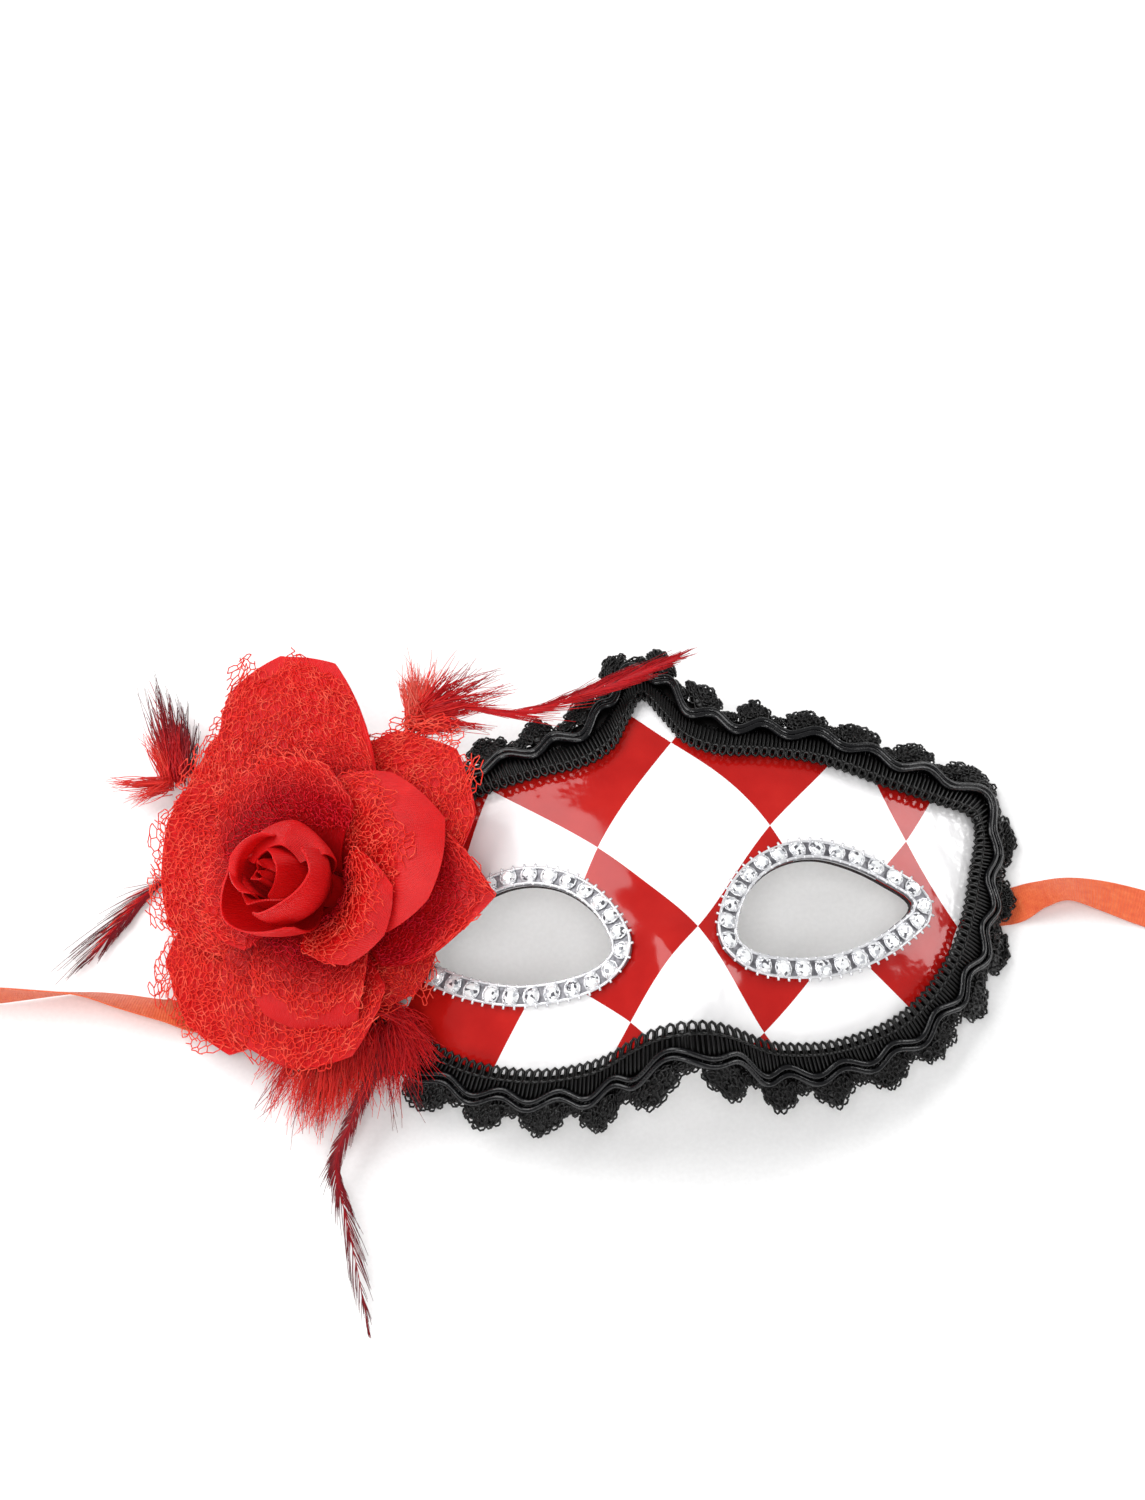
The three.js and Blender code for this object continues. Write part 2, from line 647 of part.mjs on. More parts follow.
// Feather tuft: a quill and blade with locks of down standing out of its shoulder
function featherGeometry({ spine, downFrom, down }) {
  const shoulder = spine[downFrom];
  const locks = down.map((end) => {
    const middle = {
      x: (shoulder.x + end.x) / 2,
      y: (shoulder.y + end.y) / 2,
      z: (shoulder.z + end.z) / 2 + DOWN_BOW,
      wide: DOWN_MIDDLE_WIDTH,
    };
    const route = [{ ...shoulder, wide: DOWN_ROOT_WIDTH }, middle, { ...end, wide: DOWN_TIP_WIDTH }];
    return lockGeometry(route, DOWN_STEPS);
  });
  return fuse([lockGeometry([quillRoot(spine[0]), ...spine], spine.length * 2), ...locks]);
}

// Ribbon tie: a flat woven ribbon along its route
function tieGeometry({ route }) {
  const spine = curveThrough(route, false);
  const rings = [];
  const steps = (route.length - 1) * 2;
  for (let step = 0; step <= steps; step += 1) {
    const turn = step / steps;
    const place = turn * (route.length - 1);
    const row = Math.min(Math.floor(place), route.length - 2);
    const turned = THREE.MathUtils.lerp(route[row].turn, route[row + 1].turn, place - row);
    const roll = THREE.MathUtils.degToRad(turned);
    const tangent = spine.getTangent(turn);
    if (tangent.x < 0) {
      tangent.negate();
    }
    const side = new THREE.Vector3().crossVectors(UP, tangent).normalize().applyAxisAngle(tangent, roll);
    const lift = new THREE.Vector3().crossVectors(tangent, side).multiplyScalar(TIE_THICKNESS / 2);
    const edge = side.multiplyScalar(TIE_WIDTH / 2);
    const at = spine.getPoint(turn);
    rings.push([
      at.clone().add(edge).add(lift),
      at.clone().sub(edge).add(lift),
      at.clone().sub(edge).sub(lift),
      at.clone().add(edge).sub(lift),
    ]);
  }
  return loft(rings, false);
}

const mask = new THREE.Group();
mask.name = "masquerade_eye_mask";
mask.add(piece("shell", shellGeometry(), MATERIALS.face));
mask.add(piece("gimp_braid", braidGeometry(), MATERIALS.braid));
mask.add(piece("soutache_wave", soutacheGeometry(), MATERIALS.cord));
mask.add(piece("eye_trim_right", eyeTrimGeometry(1), MATERIALS.stones));
mask.add(piece("eye_trim_left", eyeTrimGeometry(-1), MATERIALS.stones));
mask.add(piece("rose_core", coreGeometry(), MATERIALS.rose));
const rose = new THREE.Group();
rose.position.copy(ROSE_BASE);
rose.quaternion.setFromUnitVectors(UP, ROSE_AXIS);
PETALS.forEach(([name, ...sizes]) => {
  rose.add(piece(`rose_petal_${name}`, petalGeometry(sizes), MATERIALS.rose));
});
mask.add(rose);
FEATHERS.forEach((row) => mask.add(piece(row.name, featherGeometry(row), MATERIALS.feather)));

// The middle of the mask's own bounds, without its ties, is put over the origin
const bounds = new THREE.Box3().setFromObject(mask, true);
TIES.forEach((row) => mask.add(piece(row.name, tieGeometry(row), MATERIALS.ribbon)));
mask.position.set(-(bounds.min.x + bounds.max.x) / 2, -(bounds.min.y + bounds.max.y) / 2, -bounds.min.z);

const part = new THREE.Group();
part.name = "part";
part.add(mask);

export default part;
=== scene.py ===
import math

import bpy
import numpy as np
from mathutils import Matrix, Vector


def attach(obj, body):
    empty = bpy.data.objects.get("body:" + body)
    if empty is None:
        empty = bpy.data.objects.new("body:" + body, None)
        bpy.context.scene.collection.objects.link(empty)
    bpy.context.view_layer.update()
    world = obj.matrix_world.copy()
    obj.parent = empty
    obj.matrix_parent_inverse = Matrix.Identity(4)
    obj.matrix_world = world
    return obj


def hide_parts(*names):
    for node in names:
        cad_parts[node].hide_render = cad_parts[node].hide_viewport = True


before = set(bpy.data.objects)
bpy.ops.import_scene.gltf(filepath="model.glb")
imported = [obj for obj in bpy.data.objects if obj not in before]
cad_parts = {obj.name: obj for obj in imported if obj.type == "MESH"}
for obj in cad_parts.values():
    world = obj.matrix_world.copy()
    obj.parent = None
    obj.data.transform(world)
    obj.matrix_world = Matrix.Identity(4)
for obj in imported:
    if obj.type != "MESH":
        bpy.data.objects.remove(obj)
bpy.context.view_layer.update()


# The camera stands above the chin side of the mask and looks steeply down on it, a little from its
# left, with a long lens. Tables in this file are in millimetres about the middle line of the face.
MM = 0.001
MASK_MIDDLE = np.array([27.75362, -5.098808, 0.0])
CAMERA_EYE = [-65.967, -392.054, 951.07]
CAMERA_AIM = [-20.145, 43.916, 52.275]


def in_frame(points):
    """Metres in the part's frame from millimetres about the middle line of the face."""
    return (np.asarray(points, float) + MASK_MIDDLE) * MM


photo_lens = bpy.data.cameras.new("photo_camera")
photo_lens.lens = 96
photo_lens.sensor_fit = "VERTICAL"
photo_lens.sensor_height = 36
photo_lens.clip_start = 0.01
photo_camera = bpy.data.objects.new("photo_camera", photo_lens)
bpy.context.scene.collection.objects.link(photo_camera)
photo_camera.location = in_frame(CAMERA_EYE)
line_of_sight = Vector(in_frame(CAMERA_AIM) - in_frame(CAMERA_EYE))
photo_camera.rotation_euler = line_of_sight.to_track_quat("-Z", "Y").to_euler()
bpy.context.scene.camera = photo_camera


# Ribbon ties: two ends of 10 mm woven polyester ribbon, glued inside the temples and led out under
# the braid. Each lies on the table, turns up on its edge in places and ends in a plain cut.
RIBBON_WIDTH = 10.0
RIBBON_THICKNESS = 0.35
RIBBON_CUP = 0.25
RIBBON_CELLS = 10
THREAD_RISE = 0.4
# Rows of a route: x, y, z and roll in degrees. At the fourth row it comes out from under the braid.
RIBBON_ROUTES = {
    "right": [
        (74.2, 12.0, 9.9, 0),
        (78.4, 12.0, 6.2, 0),
        (82.0, 12.0, 2.7, 0),
        (86.0, 12.0, 0.9, 0),
        (92.0, 12.4, 0.6, -2),
        (98.5, 13.8, 2.6, -25),
        (105.7, 14.4, 3.3, -32),
        (114.7, 12.1, 2.0, -17),
        (124.6, 8.2, 0.7, -2),
        (132.0, 5.0, 0.5, 0),
    ],
    "left": [
        (-74.2, 12.0, 9.9, 0),
        (-78.4, 12.0, 6.2, 0),
        (-82.0, 11.8, 2.7, 0),
        (-86.0, 11.2, 0.9, 0),
        (-95.0, 8.6, 0.6, 0),
        (-107.0, 4.6, 0.9, -5),
        (-119.0, 2.8, 1.5, -12),
        (-129.0, 4.8, 3.5, -36),
        (-139.5, 8.1, 4.2, -48),
        (-150.0, 11.0, 5.0, -64),
        (-162.6, 12.0, 5.5, -80),
        (-171.0, 12.6, 5.5, -90),
        (-177.0, 13.0, 5.5, -95),
    ],
}
RIBBON_LENGTHS = {"right": 0.0625, "left": 0.1085}


def spline(rows, closed, turn):
    """Places on the smooth curve through a table of rows, at turns from 0 to 1."""
    rows = np.asarray(rows, float)
    spans = len(rows) if closed else len(rows) - 1
    place = np.asarray(turn, float) * spans
    row = np.clip(np.floor(place), 0, spans - 1).astype(int)
    part = (place - row)[:, None]
    if closed:
        before, here, there, after = (rows[(row + step) % len(rows)] for step in (-1, 0, 1, 2))
    else:
        ends = np.vstack([2 * rows[0] - rows[1], rows, 2 * rows[-1] - rows[-2]])
        before, here, there, after = (ends[row + step] for step in (0, 1, 2, 3))
    leave = (there - before) / 2
    arrive = (after - here) / 2
    bow = 3 * (there - here) - 2 * leave - arrive
    return here + leave * part + bow * part**2 + (2 * (here - there) + leave + arrive) * part**3


def unit(vectors):
    return vectors / np.maximum(np.linalg.norm(vectors, axis=-1, keepdims=True), 1e-12)


def laid_grid(name, columns, rows, place, uv_size):
    """A grid primitive laid on a surface: place gives millimetres for u and v from 0 to 1."""
    bpy.ops.mesh.primitive_grid_add(x_subdivisions=columns, y_subdivisions=rows, size=2)
    piece = bpy.context.object
    piece.name = name
    mesh = piece.data
    flat = np.empty(len(mesh.vertices) * 3)
    mesh.vertices.foreach_get("co", flat)
    flat = (flat.reshape(-1, 3) + 1) / 2
    mesh.vertices.foreach_set("co", in_frame(place(flat[:, 0], flat[:, 1])).ravel())
    layer = mesh.uv_layers.active.data
    corners = np.empty(len(layer) * 2)
    layer.foreach_get("uv", corners)
    layer.foreach_set("uv", (corners.reshape(-1, 2) * uv_size).ravel())
    mesh.update()
    return piece


def apply_modifier(piece, kind, **settings):
    modifier = piece.modifiers.new(kind.lower(), kind)
    for setting, value in settings.items():
        setattr(modifier, setting, value)
    bpy.context.view_layer.objects.active = piece
    bpy.ops.object.modifier_apply(modifier=modifier.name)


def select_only(piece):
    bpy.ops.object.select_all(action="DESELECT")
    piece.select_set(True)
    bpy.context.view_layer.objects.active = piece


def smooth(piece, degrees):
    select_only(piece)
    bpy.ops.object.shade_smooth_by_angle(angle=math.radians(degrees))


def set_inputs(tree, node, values):
    """Sets a node's inputs to constant values, or joins them to the outputs of other nodes."""
    for socket, value in values.items():
        if isinstance(value, bpy.types.NodeSocket):
            tree.links.new(value, node.inputs[socket])
        else:
            node.inputs[socket].default_value = value


def finish_named(name, **values):
    """A new node material, with constant values set on its shader's own sockets."""
    material = bpy.data.materials.new(name)
    material.use_nodes = True
    tree = material.node_tree
    shader = tree.nodes["Principled BSDF"]
    set_inputs(tree, shader, {socket.replace("_", " "): value for socket, value in values.items()})
    return material, tree, shader


def add_node(tree, kind, values=None, **settings):
    node = tree.nodes.new(kind)
    for setting, value in settings.items():
        setattr(node, setting, value)
    set_inputs(tree, node, values or {})
    return node


def compute(tree, operation, *inputs):
    """The output of a math node for constant values or the outputs of other nodes."""
    return add_node(tree, "ShaderNodeMath", dict(enumerate(inputs)), operation=operation).outputs[0]


def linear(value):
    """Linear share of light from one of a colour picker's values from 0 to 255."""
    share = value / 255
    return share / 12.92 if share <= 0.04045 else ((share + 0.055) / 1.055) ** 2.4


def colour_ramp(tree, factor, stops):
    """Colour that runs through stops: a place from 0 to 1 and a colour picker's red, green and blue."""
    ramp = add_node(tree, "ShaderNodeValToRGB", {"Fac": factor})
    steps = ramp.color_ramp.elements
    steps[0].position = stops[0][0]
    steps[1].position = stops[-1][0]
    for place, *_ in stops[1:-1]:
        steps.new(place)
    for step, (_, *picked) in zip(steps, stops):
        step.color = (*map(linear, picked), 1)
    return ramp.outputs["Color"]


def raise_bump(tree, shader, height, strength, distance):
    bump = add_node(tree, "ShaderNodeBump", {"Height": height, "Strength": strength, "Distance": distance})
    set_inputs(tree, shader, {"Normal": bump.outputs["Normal"]})


def make_rib_weave():
    """Ribs and cross threads of a woven cloth from its millimetre UV map, with uneven yarn."""
    group = bpy.data.node_groups.new("rib_weave", "ShaderNodeTree")
    for socket, kind in (("Place", "Vector"), ("Ribs", "Float"), ("Threads", "Float")):
        group.interface.new_socket(socket, in_out="INPUT", socket_type="NodeSocket" + kind)
    for socket in ("Height", "Fleck"):
        group.interface.new_socket(socket, in_out="OUTPUT", socket_type="NodeSocketFloat")
    inlet = add_node(group, "NodeGroupInput").outputs
    place = add_node(group, "ShaderNodeSeparateXYZ", {0: inlet["Place"]}).outputs
    ribs = compute(group, "SINE", compute(group, "MULTIPLY", place["X"], inlet["Ribs"]))
    threads = compute(group, "SINE", compute(group, "MULTIPLY", place["Y"], inlet["Threads"]))
    height = compute(group, "MULTIPLY_ADD", threads, THREAD_RISE, ribs)
    yarn = {"Vector": inlet["Place"], "Scale": 0.6, "Detail": 5.0, "Roughness": 0.65}
    fleck = add_node(group, "ShaderNodeTexNoise", yarn).outputs["Fac"]
    add_node(group, "NodeGroupOutput", {"Height": height, "Fleck": fleck})
    return group


def place_weave(tree, rib_pitch, thread_pitch):
    """Outputs of the rib weave on a piece's own UV map, with its pitches in millimetres."""
    values = {
        "Place": add_node(tree, "ShaderNodeUVMap", uv_map="UVMap").outputs["UV"],
        "Ribs": 2 * math.pi / rib_pitch,
        "Threads": 2 * math.pi / thread_pitch,
    }
    return add_node(tree, "ShaderNodeGroup", values, node_tree=rib_weave).outputs


rib_weave = make_rib_weave()
ribbon_satin, satin_tree, satin_shader = finish_named(
    "ribbon_satin", Roughness=0.48, Sheen_Weight=0.3, Sheen_Tint=(1.0, 0.5, 0.4, 1.0)
)
satin_weave = place_weave(satin_tree, rib_pitch=0.55, thread_pitch=0.4)
satin_reds = [(0.25, 208, 70, 28), (0.55, 221, 95, 44), (0.8, 230, 122, 70)]
satin_red = colour_ramp(satin_tree, satin_weave["Fleck"], satin_reds)
set_inputs(satin_tree, satin_shader, {"Base Color": satin_red})
raise_bump(satin_tree, satin_shader, satin_weave["Height"], strength=0.5, distance=0.00012)


def ribbon_place(route, u, v):
    """Points on a ribbon, u along its route and v across it, rolled as the route says."""
    near = 0.002
    line = spline(route, False, u)
    ahead = spline(route, False, np.clip(u + near, 0, 1))
    behind = spline(route, False, np.clip(u - near, 0, 1))
    tangent = unit((ahead - behind)[:, :3])
    tangent[tangent[:, 0] < 0] *= -1
    level = unit(np.cross([0.0, 0.0, 1.0], tangent))
    roll = np.radians(line[:, 3])[:, None]
    side = level * np.cos(roll) + np.cross(tangent, level) * np.sin(roll)
    cup = RIBBON_CUP * np.sin(np.pi * v)[:, None]
    return line[:, :3] + side * (v[:, None] - 0.5) * RIBBON_WIDTH + np.cross(tangent, side) * cup


for end, route in RIBBON_ROUTES.items():
    ribbon = laid_grid(
        "ribbon_tie_" + end,
        RIBBON_CELLS * (len(route) - 1),
        RIBBON_CELLS,
        lambda u, v: ribbon_place(route, u, v),
        (RIBBON_LENGTHS[end] / MM, RIBBON_WIDTH),
    )
    apply_modifier(ribbon, "SOLIDIFY", thickness=RIBBON_THICKNESS * MM, offset=0)
    smooth(ribbon, degrees=50)
    ribbon.data.materials.append(ribbon_satin)
    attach(ribbon, "root")
    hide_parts("ribbon_" + end)


# Face of the mask: a moulded half mask with a raised nose and two eye openings, covered in printed
# glossy vinyl film that is stretched over the mould and folded under the braid. The inside is bare.
FACE_WALL = 1.2
FACE_EDGE = 0.6
FACE_COLUMNS = 120
MIDLINE_COLUMNS = 40
FACE_ROWS = 22
HALF_ROUND = 0.4999999
FACE_TOP = 40.0
FACE_DROP = 37.0
FACE_HALF = 84.0
FACE_WIDENS = 0.2
FACE_ROUND = 2.3
BROW_FALL = 0.002
CHEEK_FALL = 0.0115
NOSE_RISE = 14.0
NOSE_TOP = 16.0
NOSE_LENGTH = 46.0
NOSE_WIDTH = 13.0
PUCKER_SAMPLES = 480
PUCKER_DEPTH = 0.7
PUCKER_REACH = 4.0
EYE_SAMPLES = 1440
EYE_MIDDLE = np.array([38.0, 2.0])
EYE_OUTLINE = [
    (14.9, -5.2),
    (16.6, -8.6),
    (21.5, -10.5),
    (30.0, -11.1),
    (39.0, -10.0),
    (48.0, -6.4),
    (56.5, -0.6),
    (62.2, 6.2),
    (55.2, 10.8),
    (47.0, 14.2),
    (38.5, 15.9),
    (30.5, 14.6),
    (23.4, 10.4),
    (18.0, 3.6),
]
# Inner and outer edge of the braid from the nose notch round to the peak
EDGE_ROWS = [
    (0.0, -29.5, 0.0, -41.0),
    (11.0, -29.5, 12.5, -42.5),
    (23.0, -30.8, 25.0, -42.0),
    (37.0, -29.8, 40.5, -39.2),
    (51.0, -24.8, 56.0, -33.5),
    (61.5, -17.0, 69.5, -23.5),
    (70.5, -5.5, 80.5, -10.5),
    (75.8, 6.0, 87.0, 3.5),
    (79.5, 18.0, 89.3, 18.0),
    (82.5, 28.5, 91.5, 32.0),
    (81.5, 35.0, 91.5, 45.5),
    (71.5, 36.5, 78.5, 50.3),
    (58.5, 39.0, 64.0, 52.5),
    (43.5, 43.8, 47.5, 57.2),
    (29.0, 45.8, 32.5, 60.2),
    (17.0, 47.0, 22.5, 63.5),
    (9.3, 51.3, 14.5, 69.5),
    (5.0, 58.5, 9.0, 78.0),
    (0.0, 66.0, 0.0, 83.5),
]
# Corners of the printed diamonds as the film lies stretched over the mould: number across and along
# the print, then x and y on the face
DIAMOND_CORNERS = [
    (0, 1, 6.0, 52.0),
    (1, 0, 28.0, 25.5),
    (0, -1, 6.0, -3.5),
    (-1, 0, -16.0, 23.0),
    (3, 0, 63.5, 24.0),
    (1, -2, 20.0, -28.0),
    (-1, -2, -13.0, -24.5),
    (4, -1, 74.5, 3.0),
    (-3, -2, -51.5, -31.5),
    (-2, -1, -32.5, -7.5),
    (2, -1, 42.0, -4.5),
    (3, -2, 64.0, -24.5),
    (2, 1, 53.5, 54.0),
    (-2, 1, -41.0, 45.5),
    (-1, 2, -17.0, 76.5),
    (1, 2, 29.0, 84.5),
    (4, 1, 78.5, 48.0),
    (-3, 0, -54.5, 14.5),
    (0, -3, 1.5, -44.0),
]


def ease(share):
    """Smooth step from 0 to 1 as a share goes from 0 to 1, and level outside that."""
    share = np.clip(share, 0, 1)
    return share**2 * (3 - 2 * share)


def face_height(x, y):
    fall = np.where(y > 0, BROW_FALL, CHEEK_FALL)
    nose = NOSE_RISE * ease((NOSE_TOP - y) / NOSE_LENGTH) * np.exp(-((x / NOSE_WIDTH) ** 2))
    aside = np.abs(x) / (FACE_HALF + FACE_WIDENS * y)
    return FACE_TOP - FACE_DROP * aside**FACE_ROUND - fall * y**2 + nose


def face_point(x, y, lift):
    """Points over the face at plan x and y, raised by lift along the face's normal."""
    near = 0.05
    slope_x = (face_height(x + near, y) - face_height(x - near, y)) / (2 * near)
    slope_y = (face_height(x, y + near) - face_height(x, y - near)) / (2 * near)
    normal = unit(np.stack([-slope_x, -slope_y, np.ones_like(slope_x)], axis=-1))
    return np.stack([x, y, face_height(x, y)], axis=-1) + normal * np.asarray(lift)[..., None]


def whole_edge(first):
    half = np.array(EDGE_ROWS)[:, first : first + 2]
    return np.vstack([half, half[-2:0:-1] * [-1, 1]])


def arc_turns(rows, samples=1600):
    """Turns and running lengths of a closed curve, to step along it evenly."""
    turns = np.linspace(0, 1, samples + 1)
    steps = np.linalg.norm(np.diff(spline(rows, True, turns), axis=0), axis=1)
    return turns, np.concatenate([[0], np.cumsum(steps)])


inner_edge = whole_edge(0)
outer_edge = whole_edge(2)
edge_turns, edge_lengths = arc_turns(inner_edge)
EDGE_LENGTH = edge_lengths[-1]


def band_plan(along, across):
    """Plan of the braid: along from 0 to 1 round the mask, across from 0 inside to 1 outside."""
    turn = np.interp((along % 1) * EDGE_LENGTH, edge_lengths, edge_turns)
    inner = spline(inner_edge, True, turn)
    return inner + (spline(outer_edge, True, turn) - inner) * np.asarray(across)[..., None]


rim_turns = np.linspace(0, HALF_ROUND, FACE_COLUMNS + 1)
rim_half = band_plan(rim_turns, np.full(FACE_COLUMNS + 1, FACE_EDGE))
down_midline = np.linspace(0, 1, MIDLINE_COLUMNS + 1)[1:, None]
face_rim = np.vstack([rim_half, rim_half[-1] + (rim_half[0] - rim_half[-1]) * down_midline])
eye_samples = spline(EYE_OUTLINE, True, np.linspace(0, 1, EYE_SAMPLES, endpoint=False))
eye_bearings = np.arctan2(*(eye_samples - EYE_MIDDLE).T[::-1])


def eye_towards(rim):
    """Points of the eye opening that lie towards the rim's points, seen from the eye's middle."""
    bearing = np.arctan2(*(rim - EYE_MIDDLE).T[::-1])
    plan = [np.interp(bearing, eye_bearings, places, period=2 * np.pi) for places in eye_samples.T]
    return np.stack(plan, axis=-1)


face_eye = eye_towards(face_rim)


def half_face(u, v):
    column = np.rint(u * (len(face_rim) - 1)).astype(int)
    plan = face_rim[column] + (face_eye[column] - face_rim[column]) * v[:, None]
    return face_point(plan[:, 0], plan[:, 1], np.zeros(len(u))) - MASK_MIDDLE


def surface_texture(tree, kind, values, **settings):
    """Outputs of a texture on the part's own coordinates, with its scale to the metre."""
    place = add_node(tree, "ShaderNodeTexCoord").outputs["Object"]
    return add_node(tree, kind, {"Vector": place, **values}, **settings).outputs


def grain_of(tree, scale, detail, roughness=0.5):
    values = {"Scale": scale, "Detail": detail, "Roughness": roughness}
    return surface_texture(tree, "ShaderNodeTexNoise", values)["Fac"]


def grained(name, scale, detail, stops, bump=None, **values):
    """A material whose colour, and bump where it has one, follow a fine grain."""
    material, tree, shader = finish_named(name, **values)
    grain = grain_of(tree, scale, detail)
    set_inputs(tree, shader, {"Base Color": colour_ramp(tree, grain, stops)})
    if bump:
        raise_bump(tree, shader, grain, *bump)
    return material


def edit_whole(change, **settings):
    """Runs a mesh operator on the whole of the active piece."""
    bpy.ops.object.mode_set(mode="EDIT")
    bpy.ops.mesh.select_all(action="SELECT")
    change(**settings)
    bpy.ops.object.mode_set(mode="OBJECT")


def mark_points(piece, mark, values):
    """Gives each point of a piece a value, which its material reads by the mark's name."""
    piece.data.attributes.new(mark, "FLOAT", "POINT").data.foreach_set("value", values)


vinyl_film, film_tree, film_shader = finish_named("vinyl_film", Roughness=0.1, Specular_IOR_Level=0.4)
film_mottle = grain_of(film_tree, scale=90.0, detail=3.0)
film_reds = [(0.3, 167, 18, 15), (0.55, 177, 24, 20), (0.8, 185, 31, 25)]
film_whites = [(0.3, 240, 239, 240), (0.75, 247, 246, 246)]
film_print = {
    "Vector": add_node(film_tree, "ShaderNodeUVMap", uv_map="diamonds").outputs["UV"],
    "Color1": colour_ramp(film_tree, film_mottle, film_reds),
    "Color2": colour_ramp(film_tree, film_mottle, film_whites),
    "Scale": 1.0,
}
film_check = add_node(film_tree, "ShaderNodeTexChecker", film_print)
set_inputs(film_tree, film_shader, {"Base Color": film_check.outputs["Color"]})
film_swell = grain_of(film_tree, scale=48.0, detail=2.0, roughness=0.4)
film_crimp = grain_of(film_tree, scale=170.0, detail=2.0)
film_pucker = add_node(film_tree, "ShaderNodeAttribute", attribute_name="pucker").outputs["Fac"]
film_drawn = compute(film_tree, "MULTIPLY_ADD", film_crimp, film_pucker, film_swell)
raise_bump(film_tree, film_shader, film_drawn, strength=0.5, distance=0.0024)
inside_whites = [(0.3, 228, 227, 225), (0.7, 242, 241, 240)]
mask_inside = grained("mask_inside", 700.0, 4.0, inside_whites, bump=(0.3, 0.0002), Roughness=0.55)
# Painted shade: the cut rim of the shell, seen at the eye openings, is coloured near black as if it lay in
# shade
edge_shade_tones = [(0.3, 26, 22, 23), (0.7, 52, 44, 44)]
cut_edge_shade = grained("cut_edge_shade", 900.0, 3.0, edge_shade_tones, Roughness=0.6, Specular_IOR_Level=0.2)

mask_face = laid_grid("mask_face", len(face_rim) - 1, FACE_ROWS, half_face, (1, 1))
for finish in (vinyl_film, mask_inside, cut_edge_shade):
    mask_face.data.materials.append(finish)
edit_whole(bpy.ops.mesh.remove_doubles, threshold=0.00002)
apply_modifier(mask_face, "MIRROR", use_axis=(True, False, False), merge_threshold=0.00005)
mask_face.location = MASK_MIDDLE * MM
bpy.ops.object.transform_apply(location=True)
apply_modifier(
    mask_face,
    "SOLIDIFY",
    thickness=FACE_WALL * MM,
    offset=-1,
    use_even_offset=True,
    material_offset=1,
    material_offset_rim=2,
)


def plate_terms(places):
    """Terms of a thin plate bent through the corners of the diamonds, at places on the face."""
    apart = ((places[:, None] - corner_rows[:, 2:]) ** 2).sum(axis=-1)
    return np.hstack([apart * np.log(np.maximum(apart, 1e-9)), np.ones((len(places), 1)), places])


corner_rows = np.array(DIAMOND_CORNERS)
corner_terms = plate_terms(corner_rows[:, 2:])
plate = np.vstack([corner_terms, np.pad(corner_terms[:, -3:].T, ((0, 0), (0, 3)))])
plate_pull = np.linalg.solve(plate, np.pad(corner_rows[:, :2], ((0, 3), (0, 0))))
face_points = np.array([vertex.co for vertex in mask_face.data.vertices]) / MM - MASK_MIDDLE
across, along = (plate_terms(face_points[:, :2]) @ plate_pull).T
diamond_places = np.stack([across + along + 1, across - along + 1], axis=-1) / 2
diamonds = mask_face.data.uv_layers.new(name="diamonds")
face_corners = np.empty(len(mask_face.data.loops), int)
mask_face.data.loops.foreach_get("vertex_index", face_corners)
diamonds.data.foreach_set("uv", diamond_places[face_corners].ravel())
film_edge = band_plan(np.arange(PUCKER_SAMPLES) / PUCKER_SAMPLES, np.zeros(PUCKER_SAMPLES))
from_edge = np.linalg.norm(face_points[:, None, :2] - film_edge, axis=-1).min(axis=1)
mark_points(mask_face, "pucker", PUCKER_DEPTH * np.exp(-from_edge / PUCKER_REACH))
smooth(mask_face, degrees=50)
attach(mask_face, "root")
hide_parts("shell")


# Gimp braid: black viscose braid glued round the edge. A woven band carries U-shaped threads that
# end in small loops on the face side, and crocheted lobes of knobs hang off its outer side.
SEAT = 0.6
STEEP = 0.95
BRAID_THICKNESS = 1.8
BRAID_WAVES = 32
BRAID_LOWEST = 0.3
# Low down, the outer part of the braid droops to the table, and it lies over the ribbons
DROOP = 9.0
DROOP_BELOW = 10.0
DROOP_FROM = 0.7
OVER_RIBBON = 1.7
RIBBON_SPAN = (2.0, 22.0)
BAND_COLUMNS = 640
BAND_ROWS = 8
BAND_OUTSIDE = 0.64
BAND_SHARE = 0.6
BAND_WIDTH = 8.5
BAND_HEIGHT = 0.75
BAND_CROWN = 0.4
BAND_THICKNESS = 0.7
LADDER_LOOPS = 208
LADDER_RADIUS = 0.42
# Half of a ladder thread: millimetres along the braid, across it from its inner edge, and up
LADDER_HALF = [
    (-0.52, 6.8, 1.5),
    (-0.54, 5.0, 2.05),
    (-0.54, 3.0, 2.1),
    (-0.56, 1.3, 2.05),
    (-0.78, 0.1, 2.0),
    (-0.64, -0.8, 1.8),
    (0.0, -1.2, 1.65),
]
CHAIN_STEPS = 6
CHAIN_ACROSS = 1.15
CHAIN_HEIGHT = 2.15
CHAIN_RADIUS = 0.5
CHAIN_BEAD = 0.16
# Knobs of one lobe: place along its wave, across the braid, and their reach along, across and up
LOBE_KNOBS = [
    (0.31, 0.78, 2.15, 2.2, 1.5),
    (0.50, 0.87, 2.3, 2.3, 1.6),
    (0.69, 0.78, 2.15, 2.2, 1.5),
    (0.50, 0.70, 2.9, 2.4, 1.5),
    (0.0, 0.64, 2.4, 1.4, 1.2),
]
KNOB_SEAT = SEAT + 1.2
KNOB_SHIFTS = (-0.035, 0.035)
KNOB_SIZES = (0.9, 1.12)
KNOB_PUSHES = (-0.025, 0.03)
WAFFLE_DEPTH = 0.07
WAFFLE_ROUND = 9
WAFFLE_UP = 7
